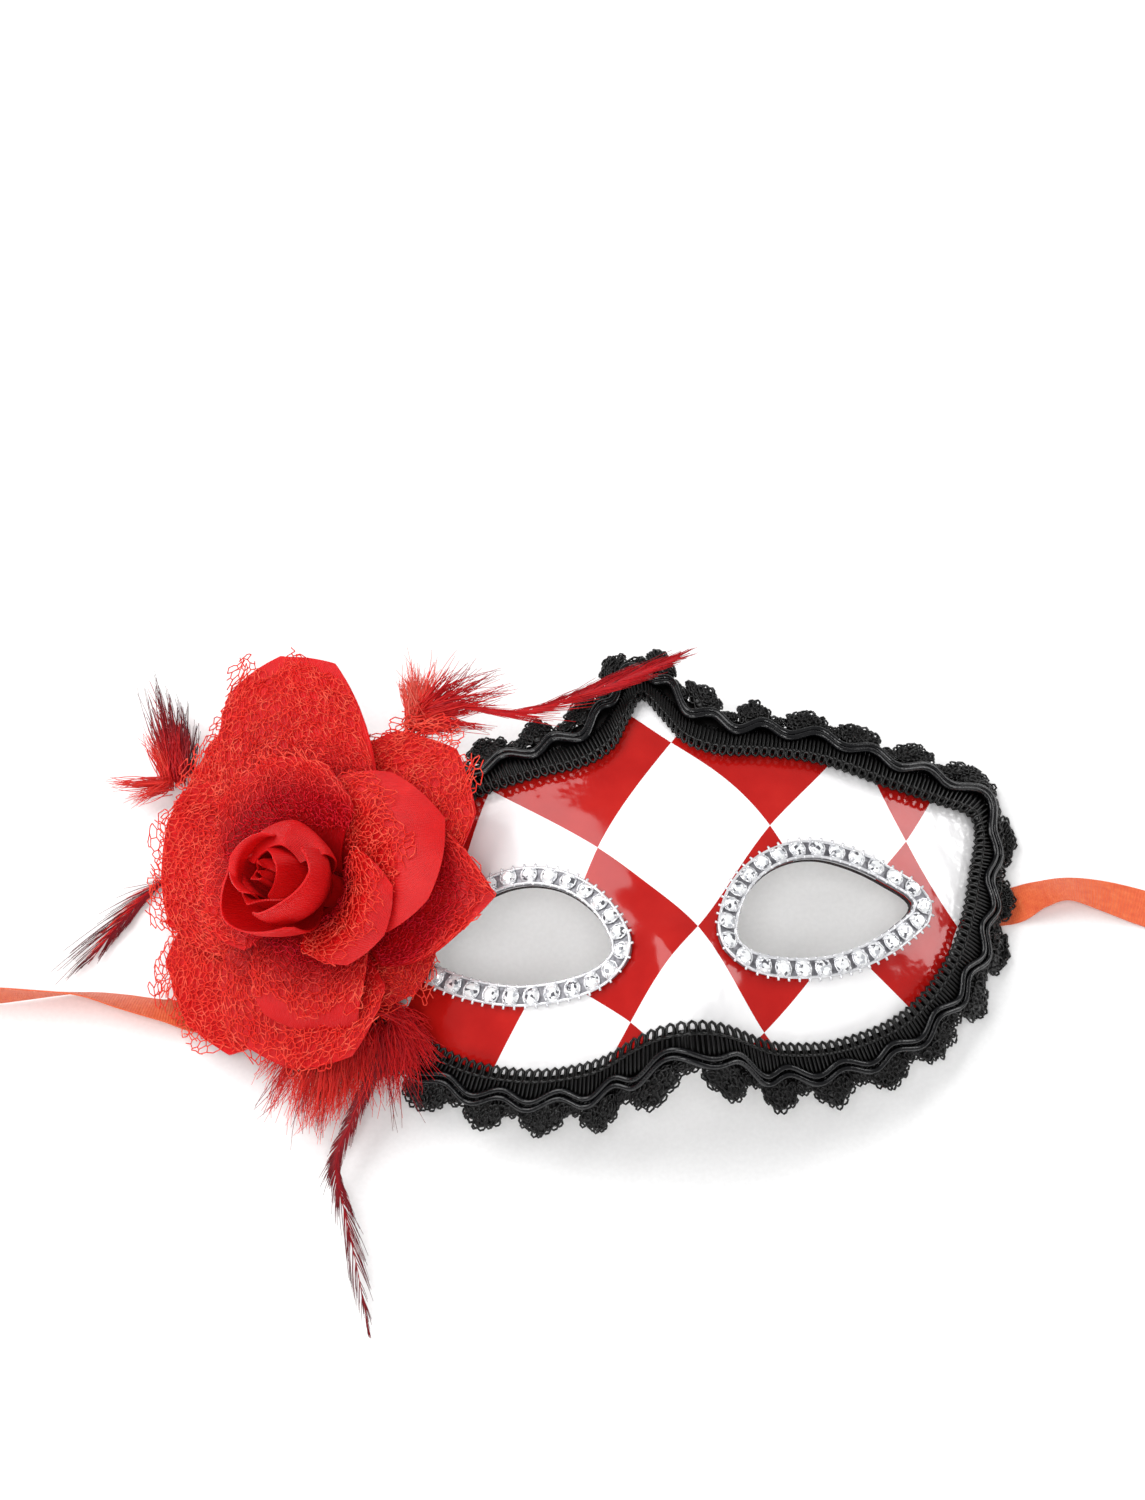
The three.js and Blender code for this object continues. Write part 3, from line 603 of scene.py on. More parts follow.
# Rings of crocheted loops on a knob: loops, share of its reach, radius of a loop
KNOB_LOOPS = [(9, 0.88, 0.72), (6, 0.5, 0.78), (1, 0.0, 0.7)]
LOOP_SHIFTS = (-0.35, 0.35)
LOOP_SIZES = (0.75, 1.25)
LOOP_RISES = (-0.15, 0.35)
LOOP_BEND = 0.25
LOOP_POINTS = 7
STITCH_RADIUS = 0.3


def band_point(along, across, lift):
    """Points over the braid's band, which follows the face until it meets the table."""
    along, across, lift = np.broadcast_arrays(along, across, lift)
    plan = band_plan(along.ravel(), across.ravel())
    point = face_point(plan[:, 0], plan[:, 1], lift.ravel())
    near = np.clip((DROOP_BELOW - point[:, 2]) / DROOP_BELOW, 0, 1)
    point[:, 2] -= DROOP * near * np.maximum(across.ravel() - DROOP_FROM, 0) / (1 - DROOP_FROM)
    crossing = (point[:, 1] > RIBBON_SPAN[0]) & (point[:, 1] < RIBBON_SPAN[1])
    ground = np.where(crossing, OVER_RIBBON, 0.0)
    point[:, 2] = np.maximum(point[:, 2], ground + np.maximum(lift.ravel() - SEAT, BRAID_LOWEST))
    return point.reshape(*along.shape, 3)


def band_width(along):
    ends = band_plan(along, np.zeros_like(along)), band_plan(along, np.ones_like(along))
    return np.linalg.norm(ends[1] - ends[0], axis=-1)


def new_piece(name, points, faces):
    """A mesh object from points in millimetres and their faces."""
    mesh = bpy.data.meshes.new(name)
    mesh.from_pydata(in_frame(points).tolist(), [], faces)
    piece = bpy.data.objects.new(name, mesh)
    bpy.context.scene.collection.objects.link(piece)
    return piece


def thread_mesh(name, paths, radii, sides, closed=False):
    """One mesh of round threads from an array of threads, points and millimetres."""
    paths = np.asarray(paths, float)
    threads, points = paths.shape[:2]
    if closed:
        tangent = unit(np.roll(paths, -1, axis=1) - np.roll(paths, 1, axis=1))
    else:
        tangent = unit(np.gradient(paths, axis=1))
    up = np.where(np.abs(tangent[..., 2:]) > STEEP, [1.0, 0.0, 0.0], [0.0, 0.0, 1.0])
    side = unit(np.cross(tangent, up))
    lift = np.cross(side, tangent)
    turn = 2 * np.pi * np.arange(sides) / sides
    spoke = side[:, :, None] * np.cos(turn)[:, None] + lift[:, :, None] * np.sin(turn)[:, None]
    radii = np.broadcast_to(radii, (threads, points))
    corners = paths[:, :, None] + radii[:, :, None, None] * spoke
    index = np.arange(threads * points * sides).reshape(threads, points, sides)
    here = index if closed else index[:, :-1]
    there = np.roll(index, -1, axis=1) if closed else index[:, 1:]
    turned = np.roll(np.arange(sides), -1)
    quads = np.stack([here, here[..., turned], there[..., turned], there], axis=-1)
    faces = quads.reshape(-1, 4).tolist()
    if not closed:
        faces += index[:, 0, ::-1].tolist() + index[:, -1].tolist()
    piece = new_piece(name, corners.reshape(-1, 3), faces)
    piece.data.shade_smooth()
    return piece


def join_pieces(name, pieces):
    select_only(pieces[0])
    for piece in pieces[1:]:
        piece.select_set(True)
    bpy.ops.object.join()
    pieces[0].name = name
    pieces[0].data.name = name
    return pieces[0]


def band_ground(u, v):
    crown = np.minimum(np.minimum(v, 1 - v) * BAND_ROWS, 1)
    return band_point(u, BAND_OUTSIDE - BAND_SHARE * v, SEAT + BAND_HEIGHT + BAND_CROWN * crown)


band_base = laid_grid("band_base", BAND_COLUMNS, BAND_ROWS, band_ground, (EDGE_LENGTH, BAND_WIDTH))
edit_whole(bpy.ops.mesh.remove_doubles, threshold=0.00001)
apply_modifier(band_base, "SOLIDIFY", thickness=BAND_THICKNESS * MM, offset=-1)
smooth(band_base, degrees=50)

loop_middles = (np.arange(LADDER_LOOPS) + 0.5) / LADDER_LOOPS
ladder_half = np.array(LADDER_HALF)
ladder_rows = np.vstack([ladder_half, ladder_half[-2::-1] * [-1, 1, 1]])
ladder_paths = band_point(
    loop_middles[:, None] + ladder_rows[:, 0] / EDGE_LENGTH,
    ladder_rows[:, 1] / band_width(loop_middles)[:, None],
    ladder_rows[:, 2] + SEAT,
)
ladder = thread_mesh("ladder", ladder_paths, LADDER_RADIUS, sides=6)

chain_turns = np.linspace(0, 1, CHAIN_STEPS * LADDER_LOOPS, endpoint=False)
chain_beads = CHAIN_RADIUS + CHAIN_BEAD * np.sin(2 * np.pi * chain_turns * LADDER_LOOPS)
chain_path = band_point(chain_turns, CHAIN_ACROSS / band_width(chain_turns), SEAT + CHAIN_HEIGHT)
chain_stitch = thread_mesh("chain_stitch", chain_path[None], chain_beads[None], sides=6, closed=True)
braid_band = join_pieces("braid_band", [band_base, ladder, chain_stitch])

bpy.ops.mesh.primitive_uv_sphere_add(segments=14, ring_count=8, radius=1)
knob_pattern = bpy.context.object
knob_points = np.array([vertex.co for vertex in knob_pattern.data.vertices])
knob_faces = [list(face.vertices) for face in knob_pattern.data.polygons]
bpy.data.objects.remove(knob_pattern)
lobe_points = []
lobe_faces = []
stitch_paths = []
stitch_turn = np.linspace(0, 2 * np.pi, LOOP_POINTS, endpoint=False)
lobe_dice = np.random.default_rng(5)
for wave in range(BRAID_WAVES):
    for place, across, reach, depth, height in LOBE_KNOBS:
        along = (wave + place + lobe_dice.uniform(*KNOB_SHIFTS)) / BRAID_WAVES
        width = band_width(np.array([along]))[0]
        size = lobe_dice.uniform(*KNOB_SIZES)
        push = across + lobe_dice.uniform(*KNOB_PUSHES)
        puff = knob_points * size
        ridges = np.sin(WAFFLE_ROUND * np.arctan2(puff[:, 1], puff[:, 0])) * np.sin(WAFFLE_UP * puff[:, 2])
        waffle = 1 + WAFFLE_DEPTH * ridges
        knob = band_point(
            along + puff[:, 0] * waffle * reach / EDGE_LENGTH,
            push + puff[:, 1] * waffle * depth / width,
            KNOB_SEAT + puff[:, 2] * height,
        )
        lobe_faces += [[corner + len(lobe_points) for corner in face] for face in knob_faces]
        lobe_points += knob.tolist()
        for loops, out, loop_reach in KNOB_LOOPS:
            for loop in range(loops):
                bearing = 2 * np.pi * (loop + lobe_dice.uniform(*LOOP_SHIFTS)) / loops
                ring = loop_reach * lobe_dice.uniform(*LOOP_SIZES)
                rise = height * math.sqrt(1 - out**2) + lobe_dice.uniform(*LOOP_RISES)
                aside = out * size * np.cos(bearing) * reach + ring * np.cos(stitch_turn)
                outward = out * size * np.sin(bearing) * depth + ring * np.sin(stitch_turn)
                stitch = band_point(
                    along + aside / EDGE_LENGTH,
                    push + outward / width,
                    KNOB_SEAT + rise * size + LOOP_BEND * np.cos(2 * stitch_turn + bearing),
                )
                stitch_paths.append(stitch)
braid_knobs = new_piece("braid_knobs", lobe_points, lobe_faces)
braid_knobs.data.shade_smooth()
knob_stitches = thread_mesh("knob_stitches", stitch_paths, STITCH_RADIUS, sides=4, closed=True)
braid_lobes = join_pieces("braid_lobes", [braid_knobs, knob_stitches])

crochet_black, crochet_tree, crochet_shader = finish_named(
    "crochet_black", Roughness=0.3, Specular_IOR_Level=0.32
)
crochet_cells = surface_texture(
    crochet_tree, "ShaderNodeTexVoronoi", {"Scale": 1250.0}, feature="SMOOTH_F1"
)["Distance"]
# Painted shade: the black thread is made darkest at the edges of the cells, in the gaps between the
# stitches
crochet_tone_and_gap_shade = colour_ramp(crochet_tree, crochet_cells, [(0.15, 10, 8, 8), (0.6, 1, 1, 1)])
set_inputs(crochet_tree, crochet_shader, {"Base Color": crochet_tone_and_gap_shade})
raise_bump(crochet_tree, crochet_shader, crochet_cells, strength=-0.8, distance=0.0007)
for piece in (braid_band, braid_lobes):
    piece.data.materials.append(crochet_black)
    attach(piece, "root")
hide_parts("gimp_braid")


# Soutache: a pair of smooth black satin cords with a slight shine, laid side by side on the braid
# and sewn down along it in a wave, one wave to each lobe.
CORD_RADIUS = 0.78
CORD_OFFSETS = (-0.76, 0.76)
CORD_MIDDLE = 0.47
CORD_SWING = 0.1
CORD_HEIGHT = SEAT + BRAID_THICKNESS + 1.05
CORD_STEPS = 1280
cord_turns = np.linspace(0, 1, CORD_STEPS, endpoint=False)
cord_wave = CORD_MIDDLE + CORD_SWING * np.sin(2 * np.pi * cord_turns * BRAID_WAVES)
cord_paths = [
    band_point(cord_turns, cord_wave + offset / band_width(cord_turns), CORD_HEIGHT)
    for offset in CORD_OFFSETS
]
soutache_cords = thread_mesh("soutache_cords", cord_paths, CORD_RADIUS, sides=8, closed=True)
cord_black = grained(
    "cord_black",
    1500.0,
    3.0,
    [(0.3, 4, 4, 6), (0.75, 10, 10, 13)],
    bump=(0.35, 0.0003),
    Roughness=0.2,
    Specular_IOR_Level=0.45,
)
soutache_cords.data.materials.append(cord_black)
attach(soutache_cords, "root")
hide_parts("soutache_wave")


# Eye trims: a string of cut plastic stones with silvered backs, each held by four claws in a cup of
# a silvered plastic strip with small teeth along its edges, glued round each eye opening.
STONE_COUNT = 26
STRIP_OFFSET = 2.4
STRIP_SAMPLES = 56
STRIP_INSIDE = -2.5
STRIP_OUTSIDE = 2.2
STRIP_WIDTH = 4.6
STRIP_HEIGHT = 0.8
STRIP_THICKNESS = 0.9
STRIP_COLUMNS = 6
STRIP_ROWS = 4
RAIL_PLACES = (-2.2, 1.95)
RAIL_HEIGHT = 0.9
RAIL_RADIUS = 0.4
RAIL_STEPS = 312
CUP_REACH = 1.95
CUP_HEIGHT = 1.15
CUP_RADIUS = 0.28
CUP_POINTS = 12
# Points of a claw and a tooth: distance from the middle of the stone or of the strip, and height
CLAW_BEND = np.array([(2.2, 0.7), (2.1, 1.35), (1.75, 1.95), (1.45, 2.05)])
CLAW_COUNT = 4
CLAW_RADIUS = 0.3
TOOTH_BEND = np.array([(2.0, 0.8), (2.5, 1.0), (2.95, 0.95)])
TOOTH_SIDES = (1, -0.92)
TOOTH_RADII = [0.34, 0.36, 0.3]
STONE_HEIGHT = 1.05
# Rings of a cut stone from its girdle to its table: facets, radius, height, turn in facets
STONE_RINGS = [(16, 1.6, 0.0, 0.0), (16, 1.8, 0.35, 0.0), (8, 1.5, 0.85, 0.5), (8, 1.05, 1.2, 0.0)]


def outside_of(rows, turn, near):
    """Directions out of a closed curve at turns from 0 to 1."""
    ahead = spline(rows, True, (turn + near) % 1) - spline(rows, True, (turn - near) % 1)
    return unit(np.stack([ahead[:, 1], -ahead[:, 0]], axis=-1))


eye_turns, eye_lengths = arc_turns(EYE_OUTLINE)
even_lengths = np.linspace(0, eye_lengths[-1], STRIP_SAMPLES, endpoint=False)
even_turns = np.interp(even_lengths, eye_lengths, eye_turns)
eye_outside = outside_of(EYE_OUTLINE, even_turns, near=1e-4)
strip_line = spline(EYE_OUTLINE, True, even_turns) + eye_outside * STRIP_OFFSET
strip_turns, strip_lengths = arc_turns(strip_line)
STRIP_LENGTH = strip_lengths[-1]
stone_middles = (np.arange(STONE_COUNT) + 0.5) / STONE_COUNT
tooth_middles = (np.arange(2 * STONE_COUNT) + 0.5) / (2 * STONE_COUNT)
rail_turns = np.linspace(0, 1, RAIL_STEPS, endpoint=False)
cup_bearings = np.linspace(0, 2 * np.pi, CUP_POINTS, endpoint=False)
claw_bearings = np.repeat(2 * np.pi * (np.arange(CLAW_COUNT) + 0.5) / CLAW_COUNT, len(CLAW_BEND))
claw_reaches, claw_heights = np.tile(CLAW_BEND.T, CLAW_COUNT)


def strip_point(eye_side, along, across, lift):
    """Points over a stone string: along from 0 to 1, across in millimetres out from its middle."""
    along, across, lift = np.broadcast_arrays(along, across, lift)
    turn = np.interp((along.ravel() % 1) * STRIP_LENGTH, strip_lengths, strip_turns)
    outside = outside_of(strip_line, turn, near=5e-4)
    plan = spline(strip_line, True, turn) + outside * across.ravel()[:, None]
    return face_point(eye_side * plan[:, 0], plan[:, 1], lift.ravel()).reshape(*along.shape, 3)


def strip_ground(eye_side, u, v):
    across = STRIP_INSIDE + (STRIP_OUTSIDE - STRIP_INSIDE) * (1 - v if eye_side > 0 else v)
    return strip_point(eye_side, u, across, SEAT + STRIP_HEIGHT)


def round_stones(eye_side, reach, bearing, height):
    """Points round the middle of each stone of a string."""
    along = stone_middles[:, None] + reach * np.cos(bearing) / STRIP_LENGTH
    return strip_point(eye_side, along, reach * np.sin(bearing), SEAT + height)


silver_setting = grained(
    "silver_setting",
    600.0,
    3.0,
    [(0.3, 206, 207, 211), (0.7, 240, 240, 242)],
    bump=(0.25, 0.0003),
    Metallic=0.35,
    Roughness=0.22,
)
strip_tones = [(0.3, 92, 91, 96), (0.7, 146, 145, 150)]
strip_grey = grained("strip_grey", 800.0, 3.0, strip_tones, Metallic=0.6, Roughness=0.45)
cut_stone, stone_tree, stone_shader = finish_named(
    "cut_stone", Metallic=0.2, Roughness=0.05, Coat_Weight=1.0
)
# Painted reflection: each cell of the stones gets a dark, grey or near-white colour at random, standing in
# for the glints of their silvered backs
stone_glint_cells = surface_texture(stone_tree, "ShaderNodeTexVoronoi", {"Scale": 1100.0})["Color"]
painted_glint_tones = [(0.0, 92, 92, 98), (0.24, 190, 192, 197), (0.32, 246, 247, 248)]
painted_glint = colour_ramp(stone_tree, stone_glint_cells, painted_glint_tones)
painted_glint.node.color_ramp.interpolation = "CONSTANT"
set_inputs(stone_tree, stone_shader, {"Base Color": painted_glint})

ring_ends = np.cumsum([facets for facets, *_ in STONE_RINGS]).tolist()
base, girdle, crown, table = np.split(np.arange(ring_ends[-1]), ring_ends[:-1])
stone_faces = [base[::-1], table]
for cut in range(len(base)):
    there = (cut + 1) % len(base)
    stone_faces.append([base[cut], base[there], girdle[there], girdle[cut]])
for cut in range(len(table)):
    there = (cut + 1) % len(table)
    edge = [girdle[(2 * cut + step) % len(girdle)] for step in range(3)]
    stone_faces.append([edge[0], edge[1], crown[cut]])
    stone_faces.append([edge[1], edge[2], crown[cut]])
    stone_faces.append([edge[2], crown[there], table[there], crown[cut]])
    stone_faces.append([crown[cut], table[there], table[cut]])
string_faces = []
for stone in range(STONE_COUNT):
    string_faces += [[int(corner) + ring_ends[-1] * stone for corner in face] for face in stone_faces]

for eye_name, eye_side in (("right", 1), ("left", -1)):
    strip = laid_grid(
        "strip",
        STRIP_COLUMNS * STONE_COUNT,
        STRIP_ROWS,
        lambda u, v: strip_ground(eye_side, u, v),
        (STRIP_LENGTH, STRIP_WIDTH),
    )
    edit_whole(bpy.ops.mesh.remove_doubles, threshold=0.00001)
    apply_modifier(strip, "SOLIDIFY", thickness=STRIP_THICKNESS * MM, offset=-1)
    smooth(strip, degrees=40)
    strip.data.materials.append(strip_grey)
    rails = [strip_point(eye_side, rail_turns, place, SEAT + RAIL_HEIGHT) for place in RAIL_PLACES]
    cups = round_stones(eye_side, CUP_REACH, cup_bearings, CUP_HEIGHT)
    claws = round_stones(eye_side, claw_reaches, claw_bearings, claw_heights)
    teeth = [
        strip_point(eye_side, tooth_middles[:, None], side * TOOTH_BEND[:, 0], SEAT + TOOTH_BEND[:, 1])
        for side in TOOTH_SIDES
    ]
    metal = [
        thread_mesh("rails", rails, RAIL_RADIUS, sides=5, closed=True),
        thread_mesh("cups", cups, CUP_RADIUS, sides=5, closed=True),
        thread_mesh("claws", claws.reshape(-1, len(CLAW_BEND), 3), CLAW_RADIUS, sides=5),
        thread_mesh("teeth", np.concatenate(teeth), TOOTH_RADII, sides=5),
    ]
    for piece in metal:
        piece.data.materials.append(silver_setting)
    setting = join_pieces("eye_setting_" + eye_name, [strip, *metal])
    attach(setting, "root")
    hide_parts("eye_trim_" + eye_name)

    stone_rings = []
    for facets, radius, height, turned in STONE_RINGS:
        bearings = 2 * np.pi * (np.arange(facets) + turned) / facets
        stone_rings.append(round_stones(eye_side, radius, bearings, STONE_HEIGHT + height))
    stone_points = np.concatenate(stone_rings, axis=1).reshape(-1, 3)
    stones = new_piece("eye_stones_" + eye_name, stone_points, string_faces)
    select_only(stones)
    edit_whole(bpy.ops.mesh.normals_make_consistent, inside=False)
    stones.data.materials.append(cut_stone)
    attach(stones, "root")


# Rose stem: the wire stub of the flower, bound with cloth tape, glued to the temple and hidden by
# the petals that are gathered round it.
ROSE_BASE = np.array([-78.0, 25.0, 17.5])
ROSE_AXIS = Vector((-0.4, -0.19, 0.853)).normalized()
STEM_FOOT = (-72.0, 28.0, SEAT)
STEM_RADIUS = 4.3
STEM_HEIGHT = 27.0
STEM_STEPS = 96
TAPE_TURNS = 9
TAPE_STEP = 0.35
# Painted shade: the colour of the petals and their net is multiplied by this towards their roots, where
# shade falls between the rows
PAINTED_ROOT_SHADE = (0.7, 0.06, 0.4, 1.0)
rose_up = np.array(ROSE_AXIS)
stem_turns = np.linspace(0, 1, STEM_STEPS)
stem_foot = face_point(*np.array([STEM_FOOT]).T)[0]
stem_line = spline([stem_foot, ROSE_BASE, ROSE_BASE + rose_up * STEM_HEIGHT], False, stem_turns)
stem_wrap = STEM_RADIUS - TAPE_STEP * ((stem_turns * TAPE_TURNS) % 1)
rose_stem = thread_mesh("rose_stem", stem_line[None], stem_wrap[None], sides=20)


def make_root_shade():
    """Painted shade: darkens a colour where a piece's own attribute says so, towards the roots of the
    petals.
    """
    group = bpy.data.node_groups.new("root_shade_group", "ShaderNodeTree")
    for way in ("INPUT", "OUTPUT"):
        group.interface.new_socket("Dye", in_out=way, socket_type="NodeSocketColor")
    dye = add_node(group, "NodeGroupInput").outputs["Dye"]
    root_shade = add_node(group, "ShaderNodeAttribute", attribute_name="root_shade").outputs["Fac"]
    colours = {0: root_shade, 6: dye, 7: PAINTED_ROOT_SHADE}
    shaded = add_node(group, "ShaderNodeMix", colours, data_type="RGBA", blend_type="MULTIPLY")
    add_node(group, "NodeGroupOutput", {"Dye": shaded.outputs[2]})
    return group


def dye_with_root_shade(tree, shader, grain, stops):
    """Colours a material by stops along its grain, darkened by painted shade towards the petals' roots."""
    even = colour_ramp(tree, grain, stops)
    shaded = add_node(tree, "ShaderNodeGroup", {0: even}, node_tree=root_shade_group)
    set_inputs(tree, shader, {"Base Color": shaded.outputs[0]})


# A material group that paints shade onto the petals and their net towards the petals' roots
root_shade_group = make_root_shade()
rose_cloth, cloth_tree, cloth_shader = finish_named(
    "rose_cloth",
    Roughness=0.5,
    Specular_IOR_Level=0.28,
    Subsurface_Weight=0.55,
    Subsurface_Radius=(1.0, 0.12, 0.1),
    Subsurface_Scale=0.002,
)
cloth_grain = grain_of(cloth_tree, scale=110.0, detail=4.0, roughness=0.6)
cloth_reds = [(0.25, 186, 4, 10), (0.5, 199, 10, 14), (0.8, 210, 22, 20)]
dye_with_root_shade(cloth_tree, cloth_shader, cloth_grain, cloth_reds)
cloth_weave = place_weave(cloth_tree, rib_pitch=0.8, thread_pitch=0.5)
raise_bump(cloth_tree, cloth_shader, cloth_weave["Height"], strength=0.35, distance=0.00015)
rose_stem.data.materials.append(rose_cloth)
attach(rose_stem, "root")
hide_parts("rose_core")


# Rose petals: die-cut stiffened polyester cloth, pressed into curved petals and stuck round the stem
# in three rows. Crumpled red net is pressed on with most of them and overhangs the outer ones.
PETAL_CLOTH = 0.45
PETAL_COLUMNS = 36
PETAL_LINES = 40
PETAL_LOWEST = 0.6
PETAL_NEAREST = 0.8
WIDTH_START = 0.1
WIDTH_SPAN = 0.7
WIDTH_ROUND = 0.7
SPREAD_LEAST = 40.0
SPREAD_GROWTH = 1.2
FOLD_REACH = 0.16
PHASE_RATE = 0.37
SWELL_RATES = (2.4, 3.2)
CREASE_RATES = (2.2, 1.3)
CREASE_LEVEL = 0.6
RIPPLE_SHARE = 0.05
BUD_RIPPLE_SHARE = 0.09
RIPPLE_GROWTH = 1.5
# Share of a petal's length over which the painted shade at its root fades out
ROOT_SHADE_FADE = 0.25
NET_CELL = 1.35
NET_REACH = 44.0
NET_STRAND = 0.17
NET_SIDES = 3
# The two layers of the net: turn in degrees and height over the cloth
NET_LAYERS = ((8, 0.7), (31, 1.2))
NET_PULL = 0.8
NET_JITTER = 0.13 * NET_CELL
SWAY_RATES = (0.42, 0.6, 0.5)
BUNCH_SHARE = 0.6
BUNCH_RATES = (1.25, 0.25)
BUNCH_SWING = 0.8
RAG_SHARES = (0.05, 0.03)
RAG_RATES = (6, 21)
NET_SIDE = 1.02
NET_PAST = 1.2
NET_ROOT = 0.02
NET_FOLDS = 0.45
FOLD_RATES = (0.7, 0.4, 0.5, 0.6)
NET_FUZZ = 0.15
NET_GAP = 0.1
# name, angle round the axis, length, half width, root height, root radius, slope at root and at tip,
# how far the sides of the tip fall back, lean of its point, place and angle of the outward fold,
# shares of the length where the net begins and ends, slant of its end, share darkened by painted shade
PETAL_ROWS = [
    ("outer_left", 208.5, 50.0, 23, 2.0, 5.0, 40, -12, 0.06, 0.0, 1.0, 0, 0.12, 1.07, -0.06, 0.58),
    ("outer_low_right", -66, 31.5, 20, 2.0, 5.0, 40, -12, 0.08, 0.3, 1.0, 0, 0.12, 1.08, 0.0, 0.5),
    ("outer_high_right", 35, 46.0, 23, 2.0, 5.0, 40, -12, 0.1, 0.0, 1.0, 0, 0.12, 1.1, 0.06, 0.5),
    ("outer_shoulder", 120, 54.0, 22, 2.0, 5.0, 40, -22, 0.1, 0.2, 1.0, 0, 0.12, 1.06, 0.0, 0.45),
    ("outer_high_left", 157, 49.0, 25, 4.2, 5.0, 40, -12, 0.08, -0.5, 1.0, 0, 0.12, 1.07, 0.05, 0.55),
    ("outer_bottom", -112, 44.0, 27, 6.4, 5.0, 40, -12, 0.06, 0.0, 1.0, 0, 0.12, 1.01, 0.0, 0.62),
    ("outer_right", -15, 45.0, 21, 6.4, 5.0, 40, -12, 0.22, 0.0, 1.0, 0, 0.12, 0.99, 0.0, 0.9),
    ("outer_top", 92, 60.0, 22.5, 6.4, 5.0, 40, -12, 0.08, 0.0, 1.0, 0, 0.12, 1.01, 0.05, 0.5),
    ("middle_left", 164, 32.0, 25, 10.0, 5.0, 68, 12, 0.06, 0.0, 0.9, 20, 0.5, 1.04, 0.0, 0.86),
    ("middle_right", 11, 43.0, 26, 10.0, 5.0, 68, -14, 0.14, 0.1, 0.58, 25, 0.3, 0.75, 0.12, 0.36),
    ("middle_bottom", -104, 40.0, 18, 8.4, 5.0, 60, -25, 0.08, 0.5, 0.74, 30, 0.4, 0.84, 0.0, 0.62),
    ("middle_top", 95, 36.0, 23, 12.4, 5.0, 68, 12, 0.06, 0.0, 0.9, 20, 0.5, 1.05, 0.0, 0.86),
    ("middle_low", -42, 31.0, 17, 14.8, 5.0, 68, 16, 0.06, 0.0, 0.7, 45, 0.3, 0.9, 0.0, 0.5),
    ("bud_wide", 215, 29.0, 22, 21.0, 5.0, 34, 105, 0.06, 0.0, 0.92, 70, 0, 0, 0.0, 0.35),
    ("bud_side", 80, 28.5, 20, 23.0, 5.0, 44, 106, 0.06, 0.3, 0.6, -55, 0, 0, 0.0, 0.3),
    ("bud_front", -50, 27.5, 18, 25.0, 5.0, 50, 107, 0.06, 0.0, 0.9, 70, 0, 0, 0.0, 0.35),
    ("bud_heart", 150, 24.0, 14, 27.2, 5.0, 60, 108, 0.06, 0.0, 0.82, 80, 0, 0, 0.0, 0.3),
    ("fold_right", -15, 26.0, 12, 28.0, 5.5, 66, 116, 0.12, 0.3, 0.92, 20, 0, 0, 0.0, 0.4),
    ("fold_low", 255, 24.5, 12, 28.0, 5.5, 66, 112, 0.25, -0.3, 0.8, 60, 0, 0, 0.0, 0.4),
    ("fold_left", 160, 23.5, 11, 29.0, 5.0, 70, 110, 0.2, 0.3, 0.78, 70, 0, 0, 0.0, 0.4),
    ("fold_high", 70, 22.0, 10, 31.0, 3.8, 72, 125, 0.2, 0.0, 0.85, 30, 0, 0, 0.0, 0.45),
    ("fold_inner", 200, 20.0, 8, 33.0, 2.8, 76, 118, 0.25, 0.3, 0.8, 40, 0, 0, 0.0, 0.5),
    ("fold_heart", 330, 18.0, 6, 35.0, 1.6, 80, 110, 0.25, 0.0, 0.85, 30, 0, 0, 0.0, 0.5),
]
SHARES = np.linspace(0, 1.25, 251)
# The innermost folds are rolled round an axis of their own, which leans further out and crosses the
# rose's axis inside the bud
ROLL_AXIS = Vector((-0.53, -0.17, 0.83)).normalized()
ROLL_CROSSING = 24.0
ROLL_LENGTH = 28.0
roll_base = ROSE_BASE + ROLL_CROSSING * rose_up - ROLL_LENGTH * np.array(ROLL_AXIS)
rose_turn, roll_turn = (
    np.array(Vector((0, 0, 1)).rotation_difference(axis).to_matrix()) for axis in (ROSE_AXIS, ROLL_AXIS)
)


def petal_width(half, along):
    return half * np.sin(np.pi * (WIDTH_START + WIDTH_SPAN * np.clip(along, 0, 1))) ** WIDTH_ROUND


def petal_place(row, across, along, lift):
    """Points on a petal: across from -1 to 1, along from 0 at its root to 1 at its tip."""
    angle, length, half, root_height, root_radius, slope, tip, point, lean, crease, fold = row[1:12]
    slopes = np.radians(slope + (tip - slope) * SHARES - fold * ease((SHARES - crease) / FOLD_REACH))
    step = length * SHARES[1]
    radii = root_radius + np.concatenate([[0], np.cumsum(np.cos(slopes))[:-1]]) * step
    heights = root_height + np.concatenate([[0], np.cumsum(np.sin(slopes))[:-1]]) * step
    reach = along * (1 - point * np.abs(across - lean) * along)
    now = np.interp(reach, SHARES, slopes)
    radius = np.maximum(np.interp(reach, SHARES, radii), PETAL_NEAREST)
    widest = math.radians(SPREAD_LEAST + SPREAD_GROWTH * root_height)
    turn = math.radians(angle) + across * np.minimum(petal_width(half, along) / radius, widest)
    out = radius - lift * np.sin(now)
    up = np.interp(reach, SHARES, heights) + lift * np.cos(now)
    stand, base = (roll_turn, roll_base) if row[0].startswith("fold") else (rose_turn, ROSE_BASE)
    place = np.stack([out * np.cos(turn), out * np.sin(turn), up], axis=-1) @ stand.T + base
    place[..., 2] = np.maximum(place[..., 2], PETAL_LOWEST)
    return place


